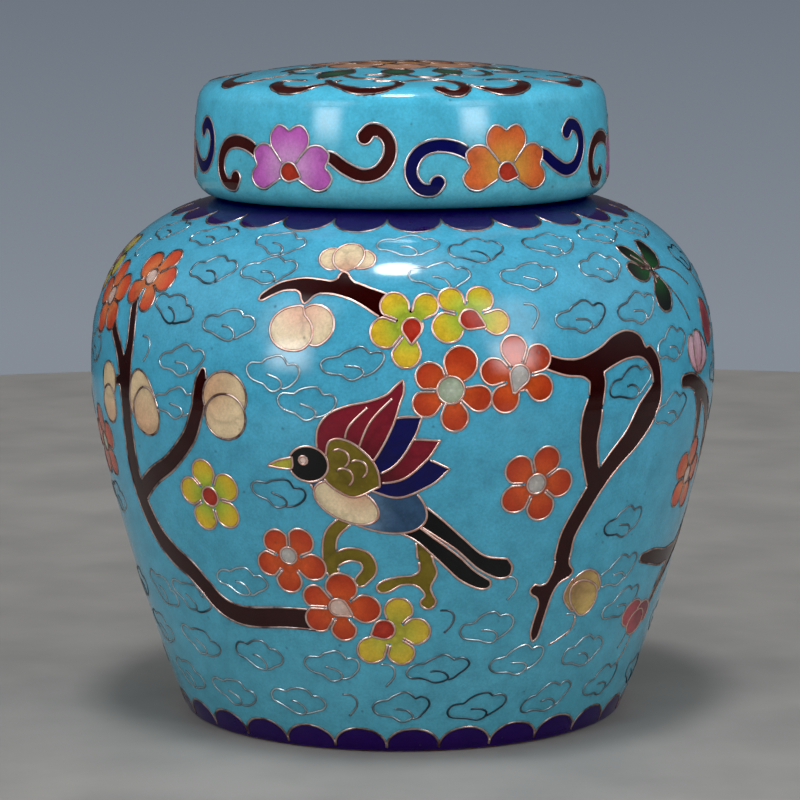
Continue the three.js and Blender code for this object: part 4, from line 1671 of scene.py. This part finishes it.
class CapDrawing:
    """The cap's decoration: six blossoms between scrolls round its wall, and a rosette on its crown."""

    UNITS = 6
    FIRST_TURN = -31.2
    BLOSSOM_HEIGHT = 8.1
    PETAL = ((-0.9, 1.2), (-2.3, 2.7), (-3.5, 4.3), (-3.4, 6.1), (-2.2, 7.3), (-0.9, 7.1), (0.0, 6.5), (0.9, 7.1),
             (2.2, 7.3), (3.4, 6.1), (3.5, 4.3), (2.3, 2.7), (0.9, 1.2))
    LEFT_SCROLL = ((-6.2, 2.4, 1.6), (-7.6, 3.5, 2.0), (-9.6, 4.2, 2.1), (-12.0, 4.3, 2.1), (-14.2, 3.5, 2.1),
                   (-15.6, 1.6, 2.1), (-15.7, -0.6, 2.0), (-14.3, -2.4, 2.0), (-12.5, -2.6, 2.2), (-11.6, -1.5, 2.4))
    RIGHT_SCROLL = ((6.4, 2.8, 1.6), (7.8, 2.2, 2.0), (9.8, 0.8, 2.1), (12.4, -0.3, 2.1), (14.9, 0.2, 2.1),
                    (16.6, 2.2, 2.1), (16.8, 4.5, 2.0), (15.7, 6.3, 2.0), (13.9, 6.8, 2.2), (12.8, 5.7, 2.4))
    CROWN_SCROLLS = (
        ((-52, 23.2, 0.8), (-54, 27.1, 1.4), (-56, 30.2, 2.2), (-61, 31.6, 2.6), (-67, 30.8, 1.8), (-74, 28.6, 1.2),
         (-84, 25.2, 0.8)),
        ((-22, 26.6, 1.0), (-24.5, 29, 1.5), (-29, 31.8, 2.0), (-35, 32.3, 2.3), (-40, 31, 2.3), (-42.5, 28.8, 1.6),
         (-40, 27, 1.1), (-35, 26.9, 0.8)),
        ((-26, 26.6, 1.0), (-22, 29, 1.6), (-17, 31, 2.0), (-12, 32.1, 2.2), (-6, 31.8, 2.1), (-1.6, 30, 1.7),
         (-0.6, 27.8, 1.3), (-3, 26.5, 1.0), (-9, 26.6, 0.8)),
        ((0.5, 27.2, 0.8), (7, 25.7, 1.0), (13.5, 25.9, 1.3), (18, 28.1, 1.8), (19, 30.8, 2.0), (17, 32.6, 1.9),
         (13.6, 32.8, 1.7), (11, 31.6, 2.2)),
        ((21, 30.4, 0.9), (25, 32, 1.4), (29.5, 32.7, 1.9), (34.5, 32.4, 2.2), (39, 31, 2.3), (41.6, 28.6, 1.7),
         (38, 26.7, 1.1), (30, 26.6, 0.8)),
        ((52, 25.6, 0.8), (53.6, 28.5, 1.4), (57, 31, 2.0), (63, 31.6, 2.3), (69.5, 30.2, 2.0), (71.5, 28, 1.3),
         (66, 26.4, 0.9)),
        ((77, 29.8, 0.8), (81, 31.4, 1.4), (86.5, 31.4, 2.0), (90.5, 29.6, 1.8), (89, 27.6, 1.3), (84.5, 27.8, 0.8)),
    )
    CROWN_TENDRILS = (
        ((-62, 20.6, 0.7), (-52, 21.8, 0.9), (-42, 21.2, 0.9), (-35, 19, 0.7)),
        ((-27, 21.6, 0.7), (-16, 24.5, 1.1), (-8.5, 23.8, 1.3), (-5.5, 21.6, 1.0), (-9, 20.6, 0.8), (-15, 21.4, 0.6)),
        ((1, 21, 0.7), (7, 23.2, 1.0), (14, 23.3, 1.0), (22, 20.4, 0.7)),
        ((29, 17, 0.7), (38, 16.8, 0.9), (43.5, 18.8, 1.1), (40, 22, 1.2), (33, 23.1, 1.0), (25, 22.6, 0.7)),
        ((47, 20.4, 0.7), (55, 22, 0.9), (64, 21.6, 0.9), (73, 23, 0.7)),
    )
    CROWN_LEAVES = ((-31, 15.0, 10.6, 6.4), (-2, 13.6, 8.4, 6.0), (24, 14.6, 7.4, 5.4), (62, 13.6, 8.4, 5.6),
                    (-66, 13.6, 8.0, 5.6))

    def __init__(self, chart: Chart) -> None:
        """Lays everything."""
        self.drawing = Drawing(chart)
        for i in range(self.UNITS):
            place = (math.radians(self.FIRST_TURN + i * 360 / self.UNITS) * chart.girth, self.BLOSSOM_HEIGHT)
            if i % 2:
                self.unit(place, Enamel.ORANGE, Enamel.NAVY)
            else:
                self.unit(place, Enamel.MAGENTA, Enamel.BROWN)
        self.crown()

    def unit(self, place: Pair, petals: Enamel, scrolls: Enamel) -> None:
        """Lays a blossom of three notched petals between two scrolls.

        Args:
            place: The chart place of its heart.
            petals: The petals' enamel.
            scrolls: The scrolls' enamel.
        """
        drawing = self.drawing
        for scroll in (self.LEFT_SCROLL, self.RIGHT_SCROLL):
            spine = drawing.chart.around(place, [point[:2] for point in scroll])
            drawing.ribbon(scrolls, [(x, y, point[2]) for (x, y), point in zip(spine, scroll)])
        heart = drawing.flat(drawing.chart.around(place, [(0.0, 0.6)]))[0]
        for tilt in (82.0, -82.0, 0.0):
            outline = drawing.chart.around(place, smooth(self.PETAL, closed=True), tilt)
            drawing.lay(drawing.flat(outline), petals, focus=heart, near=1.8, far=6.2, clear=(heart, 1.6))
        drawing.drop(Enamel.HEART_RED, place, ((0.0, 0.0), 1.55), ((1.9, -0.7), 0.25))

    def on_crown(self, turn: float, reach: float, local: Sequence) -> np.ndarray:
        """Chart places of a drawing on the crown.

        Args:
            turn: The bearing of its origin, in degrees from the front.
            reach: How far its origin is from the crown's middle.
            local: Points round the crown and outward from the origin.

        Returns:
            An array of chart places.
        """
        angle = math.radians(turn)
        points = np.array(local, float)
        around, out = points[:, 0], points[:, 1] + reach
        across = out * math.sin(angle) + around * math.cos(angle)
        back = -out * math.cos(angle) + around * math.sin(angle)
        return self.drawing.chart.crown(np.stack([across, back], axis=1))

    def crown(self) -> None:
        """Lays the rosette, its leaves and the ring of scrolls on the crown."""
        drawing = self.drawing
        drawing.wire_gauge = 0.27
        drawing.wire_kind = "border"
        centre = drawing.flat(drawing.chart.crown([(0.0, 0.0)]))[0]
        girth = math.radians(drawing.chart.girth)
        for half in (0.0, 180.0):
            for enamel, scrolls in ((Enamel.BROWN, self.CROWN_SCROLLS), (Enamel.FERN, self.CROWN_TENDRILS)):
                for scroll in scrolls:
                    spine = [((turn + half) * girth, drawing.chart.top - reach, 0.85 * width)
                             for turn, reach, width in scroll]
                    drawing.ribbon(enamel, spine)
            for turn, reach, length, width in self.CROWN_LEAVES:
                edge = smooth([(0.0, 0.0), (0.42 * width, 0.4 * length), (0.3 * width, 0.75 * length), (0.0, length)])
                outline = np.vstack([edge[:-1], (edge * [-1.0, 1.0])[:0:-1]])
                drawing.lay(drawing.flat(self.on_crown(turn + half, reach, outline)), Enamel.FERN, near=0.5, far=3.0)
        for count, reach, radius, enamel, turn in ((8, 10.4, 4.7, Enamel.PEACH, 0.0), (6, 5.6, 3.3, Enamel.ORANGE, 14.0)):
            for i in range(count):
                outline = arc((0.0, 0.0), (radius, radius * 0.95), 0, 352, 45)
                flat = drawing.flat(self.on_crown(turn + i * 360 / count, reach, outline))
                drawing.lay(flat, enamel, focus=centre, near=reach * 0.6, far=reach + radius)
        drawing.lay(drawing.flat(self.on_crown(0.0, 0.0, arc((0.0, 0.0), (3.0, 3.0), 0, 352, 45))), Enamel.BARK)


@dataclass
class GingerJar:
    """The jar itself: its enamelled shell, its wires and its two gilt rims."""

    form: JarForm = field(default_factory=JarForm)
    girth: float = 52.0
    foot_line: float = 0.66

    def build(self, enamel: bpy.types.Material, wires: dict[str, bpy.types.Material],
              rim: bpy.types.Material) -> list:
        """Builds the jar's pieces.

        Args:
            enamel: The enamel's material.
            wires: The material of the wires of the sprays, of the clouds and of the borders.
            rim: The rims' material.

        Returns:
            The new objects.
        """
        chart = Chart(self.form.outside(), self.girth)
        drawing = JarDrawing(chart).drawing
        zones = ((0.0, JarDrawing.FOOT_EDGE + 0.15, Enamel.PURPLE), (JarDrawing.BAND_EDGE - 0.3, 200.0, Enamel.PURPLE))
        skin = EnamelSkin(drawing, self.foot_line, chart.top, zones)
        shell = Shell()
        low, high = skin.lay(shell)
        purple = linear(Enamel.PURPLE.value.edge)
        lining = linear(Enamel.INSIDE.value.edge)
        ground = linear(Enamel.GROUND.value.heart)
        start = chart.space(np.array([[0.0, self.foot_line]]))[0]
        under = self.form.underside(np.array([-start[1], start[2]]))
        first = chart.normals(np.array([[0.0, self.foot_line]]))[0]
        shell.turn(low, under, False, [purple if i < 5 else lining for i in range(len(under) - 1)],
                   (-first[1], first[2]), (0.82, 0.88))
        within = np.vstack([chart_end(chart), self.form.inside()])
        paints = [ground if height > self.form.ledge[1] - 1 and i < 12 else lining
                  for i, (radius, height) in enumerate(within[1:])]
        last = chart.normals(np.array([[0.0, chart.top]]))[0]
        shell.turn(high, within, True, paints, (-last[1], last[2]), (0.89, 0.98))
        pieces = [shell.build("jar_enamel", enamel)]
        for kind, finish in wires.items():
            pieces.append(WireBundle().build(kind + "_wires", chart, drawing.runs(kind), finish))
        pieces += [self.mouth_rim(rim), self.foot_rim(rim)]
        return pieces

    def mouth_rim(self, material: bpy.types.Material) -> bpy.types.Object:
        """Builds the gilt band over the mouth."""
        form = self.form
        half = form.wall / 2
        centre = (form.neck_radius - half, form.neck_top - half)
        outer = arc(centre, (half + 0.05, half + 0.05), -38, 218, 13)
        inner = arc(centre, (half - 0.3, half - 0.3), 218, -38, 9)
        return GiltRim(np.vstack([outer, inner])).build("mouth_rim", material)

    def foot_rim(self, material: bpy.types.Material) -> bpy.types.Object:
        """Builds the gilt band under the foot ring, where the enamel is ground off."""
        form = self.form
        outer = form.foot_radius - form.foot_round + 0.15
        inner = outer - form.foot_width - 0.2
        section = np.array([(inner, 0.35), (inner, 0.06), (inner + 0.15, 0.0), (outer - 0.2, 0.0), (outer, 0.03), (outer, 0.35)])
        return GiltRim(section).build("foot_rim", material)


def chart_end(chart: Chart) -> np.ndarray:
    """The radius and height where a chart's outline ends."""
    return np.array([[chart.radius[-1], chart.height[-1]]])


@dataclass
class Cap:
    """The cap: its enamelled shell, its wires and its gilt rim."""

    form: CapForm = field(default_factory=CapForm)

    def build(self, enamel: bpy.types.Material, wires: dict[str, bpy.types.Material],
              rim: bpy.types.Material) -> list:
        """Builds the cap's pieces.

        Args:
            enamel: The enamel's material.
            wires: The material of the wires round the wall and of those on the crown.
            rim: The rim's material.

        Returns:
            The new objects.
        """
        chart = Chart(self.form.shell(0.0), self.form.radius)
        drawing = CapDrawing(chart).drawing
        shell = Shell()
        # The cap's sky enamel is less blue on its lower wall: painted light, standing in for light thrown up from the
        # shoulder below.
        low, high = EnamelSkin(drawing, 0.0, chart.top, base=Enamel.SKY, painted_light_ramp=0.3).lay(shell)
        lining = linear(Enamel.INSIDE.value.edge)
        hollow = self.form.hollow()
        shell.turn(low, hollow, False, [lining] * (len(hollow) - 1), (0.0, -1.0), (0.82, 0.98))
        pieces = [shell.build("lid_enamel", enamel)]
        for name, (kind, finish) in zip(("lid_wires", "crown_wires"), wires.items()):
            pieces.append(WireBundle().build(name, chart, drawing.runs(kind), finish))
        outer = self.form.lip_radius + 0.1
        inner = self.form.lip_radius - self.form.wall - 0.05
        seat = self.form.seat
        section = np.array([(inner, seat + 0.5), (inner, seat + 0.12), (inner + 0.12, seat), (outer - 0.3, seat),
                            (outer, seat + 0.02), (outer - 0.1, seat + 0.3)])
        pieces.append(GiltRim(section).build("lid_rim", rim))
        return pieces


@dataclass(frozen=True)
class Studio:
    """The floor, the backdrop's light, the lamps and the camera."""

    camera_distance: float = 0.546
    camera_height: float = 0.1305
    pitch: float = 8.241
    roll: float = -0.2
    focal_pixels: float = 3282.6
    picture_width: float = 800.0
    middle_column: float = 402.6
    sensor: float = 36.0
    floor_reach: float = 0.43
    black_point: float = 0.005

    def camera(self) -> None:
        """Sets the camera at the picture's own viewing angle."""
        data = bpy.data.cameras.new("camera")
        data.sensor_width = self.sensor
        data.lens = self.focal_pixels / self.picture_width * self.sensor
        data.shift_x = (self.picture_width / 2 - self.middle_column) / self.picture_width
        data.clip_start = 0.01
        view = bpy.data.objects.new("camera", data)
        turn = Matrix.Rotation(math.radians(90 - self.pitch), 4, "X") @ Matrix.Rotation(math.radians(self.roll), 4, "Z")
        view.matrix_world = Matrix.Translation((0.0, -self.camera_distance, self.camera_height)) @ turn
        bpy.context.scene.collection.objects.link(view)
        bpy.context.scene.camera = view

    def floor(self) -> None:
        """Lays a plain pale table top with a softly curved edge."""
        count = 180
        turns = np.arange(count) * 2 * math.pi / count
        ways = np.stack([np.sin(turns), np.cos(turns)], axis=1)
        points = []
        for reach, height in ((self.floor_reach - 0.004, 0.0), (self.floor_reach, -0.004), (self.floor_reach, -0.03)):
            points += [(x * reach, y * reach, height) for x, y in ways]
        faces = [tuple(range(count))[::-1]]
        for ring in range(2):
            for i in range(count):
                j = (i + 1) % count
                faces.append((ring * count + i, ring * count + j, (ring + 1) * count + j, (ring + 1) * count + i))
        mesh = bpy.data.meshes.new("table_top")
        mesh.from_pydata(points, [], faces)
        table = add_object("table_top", mesh)
        material, bench, shader = new_material("pale_table")
        noise = bench.add("ShaderNodeTexNoise", {"Scale": 35.0, "Detail": 5.0}).outputs["Fac"]
        tone = bench.add("ShaderNodeMix", {"Factor": bench.spread(noise, 0.35, 0.65, 0.0, 1.0)}, data_type="RGBA")
        tone.inputs[6].default_value = linear("#9A9791")
        tone.inputs[7].default_value = linear("#A8A49D")
        bench.tree.links.new(tone.outputs[2], shader.inputs["Base Color"])
        shader.inputs["Roughness"].default_value = 0.55
        mesh.materials.append(material)

    def lamp(self, name: str, bearing: float, elevation: float, distance: float, size: Pair, power: float,
             softness: float, shape: str = "RECTANGLE") -> None:
        """Hangs a soft lamp that faces the jar.

        Args:
            name: The lamp's name.
            bearing: Its bearing from the camera's side, in degrees to the right.
            elevation: Its height above the jar's middle, in degrees.
            distance: How far it is, in metres.
            size: Its width and height.
            power: Its power in watts, were it not dimmed towards its edges.
            softness: How much of its half width and half height the dimming takes up.
            shape: Blender's name for the lamp's outline.
        """
        data = bpy.data.lights.new(name, "AREA")
        data.shape = shape
        data.size, data.size_y = size
        data.energy = power
        data.color = linear("#F6F9FF")[:3]
        data.use_nodes = True
        bench = NodeBench(data.node_tree)
        spot = bench.add("ShaderNodeNewGeometry").outputs["Parametric"]
        parts = bench.add("ShaderNodeSeparateXYZ", {"Vector": spot})
        fades = []
        for axis in ("X", "Y"):
            away = bench.maths("ABSOLUTE", bench.maths("SUBTRACT", parts.outputs[axis], 0.5))
            fades.append(bench.spread(away, 0.5 - softness / 2, 0.5, 1.0, 0.0))
        dimmed = bench.maths("MULTIPLY", fades[0], fades[1])
        data.node_tree.links.new(dimmed, data.node_tree.nodes["Emission"].inputs["Strength"])
        lamp = bpy.data.objects.new(name, data)
        turn = math.radians(bearing)
        lift = math.radians(elevation)
        way = Vector((math.sin(turn) * math.cos(lift), -math.cos(turn) * math.cos(lift), math.sin(lift)))
        target = Vector((0.0, 0.0, 0.07))
        lamp.location = target + way * distance
        lamp.rotation_euler = (-way).to_track_quat("-Z", "Y").to_euler()
        lamp.visible_camera = False
        bpy.context.scene.collection.objects.link(lamp)

    def lamps(self) -> None:
        """Hangs two windows of light, each under a dimmer blind, and a small lamp on a pale ceiling."""
        for side, bearing in (("left", -41.0), ("right", 40.0)):
            self.lamp(side + "_window", bearing, 11.0, 1.3, (0.45, 0.44), 6.4, 0.6)
            self.lamp(side + "_blind", bearing * 1.06, 32.0, 1.3, (0.7, 0.87), 6.4, 0.6)
        self.lamp("ceiling_lamp", -6.0, 78.5, 1.2, (0.23, 0.25), 4.9, 0.1, "ELLIPSE")
        self.lamp("ceiling", 0.0, 84.0, 1.2, (0.9, 0.9), 5.0, 0.8)

    def surroundings(self) -> None:
        """Lights the scene softly, most from the front, and shows a blue-grey backdrop to the camera."""
        world = bpy.data.worlds.new("backdrop")
        bpy.context.scene.world = world
        world.use_nodes = True
        world.node_tree.nodes.clear()
        bench = NodeBench(world.node_tree)
        where = bench.add("ShaderNodeTexCoord").outputs["Generated"]
        height = bench.add("ShaderNodeSeparateXYZ", {"Vector": where}).outputs["Z"]
        seen = bench.add("ShaderNodeMix", {"Factor": bench.spread(height, -0.12, 0.02, 0.0, 1.0)}, data_type="RGBA")
        seen.inputs[6].default_value = linear("#868D97")
        seen.inputs[7].default_value = linear("#656E79")
        ahead = bench.add("ShaderNodeVectorMath", {0: where, 1: (0.0, -0.97, -0.24)}, operation="DOT_PRODUCT")
        lobe = bench.maths("POWER", bench.maths("MAXIMUM", ahead.outputs["Value"], 0.0), 6.0)
        across = bench.add("ShaderNodeSeparateXYZ", {"Vector": where}).outputs["X"]
        aside = bench.maths("MULTIPLY", bench.maths("ABSOLUTE", across), 0.8)
        aside = bench.maths("ADD", aside, bench.maths("MULTIPLY", height, 0.6))
        sides = bench.maths("POWER", bench.maths("MAXIMUM", aside, 0.0), 8.0)
        glow = bench.maths("ADD", bench.maths("MULTIPLY", lobe, 0.24), bench.maths("MULTIPLY", sides, 0.7))
        glow = bench.maths("ADD", glow, 0.07)
        camera = bench.add("ShaderNodeLightPath").outputs["Is Camera Ray"]
        shown = bench.add("ShaderNodeBackground", {"Color": seen.outputs[2]})
        light = bench.add("ShaderNodeBackground", {"Color": linear("#F6F9FF"), "Strength": glow})
        mixed = bench.add("ShaderNodeMixShader", {0: camera, 1: light.outputs[0], 2: shown.outputs[0]})
        bench.add("ShaderNodeOutputWorld", {"Surface": mixed.outputs[0]})
        view = bpy.context.scene.view_settings
        view.view_transform = "Standard"
        view.use_curve_mapping = True
        view.curve_mapping.black_level = (self.black_point,) * 3
        view.curve_mapping.update()


def main() -> None:
    """Builds the jar, its cap and the studio, and ties each piece to the frame."""
    logging.basicConfig(level=logging.INFO, format="%(message)s")
    studio = Studio()
    studio.camera()
    studio.floor()
    studio.lamps()
    studio.surroundings()

    effects = Effects()
    enamel = EnamelFinish().material(effects)
    wire = GiltFinish("rosy_wire", "#F6D2C4", "#E2AC9A", 700.0, 0.28, 0.4, "#3A2422").material(effects)
    thin = GiltFinish("silvery_wire", "#CAD8DC", "#46525A", 70.0, 0.26, 0.4, "#1A2C36").material(effects)
    pale = GiltFinish("pale_wire", "#EADAD6", "#CBB0AA", 500.0, 0.28, 0.4, "#2C2226").material(effects)
    dull = GiltFinish("brown_wire", "#DCBEB0", "#745650", 420.0, 0.26, 0.4, "#2C2226").material(effects)
    rim = GiltFinish("gilt_rim", "#E8C27A", "#C98F5C", 160.0, 0.16, 0.36).material(effects)

    jar_pieces = GingerJar().build(enamel, {"spray": wire, "cloud": thin, "border": dull}, rim)
    cap_pieces = Cap().build(enamel, {"spray": pale, "border": dull}, rim)
    for piece in jar_pieces + cap_pieces:
        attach(piece, BODY)
        log.info("%s: %d faces", piece.name, len(piece.data.polygons))
    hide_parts("jar")
    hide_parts("lid")


if __name__ == "__main__":
    main()
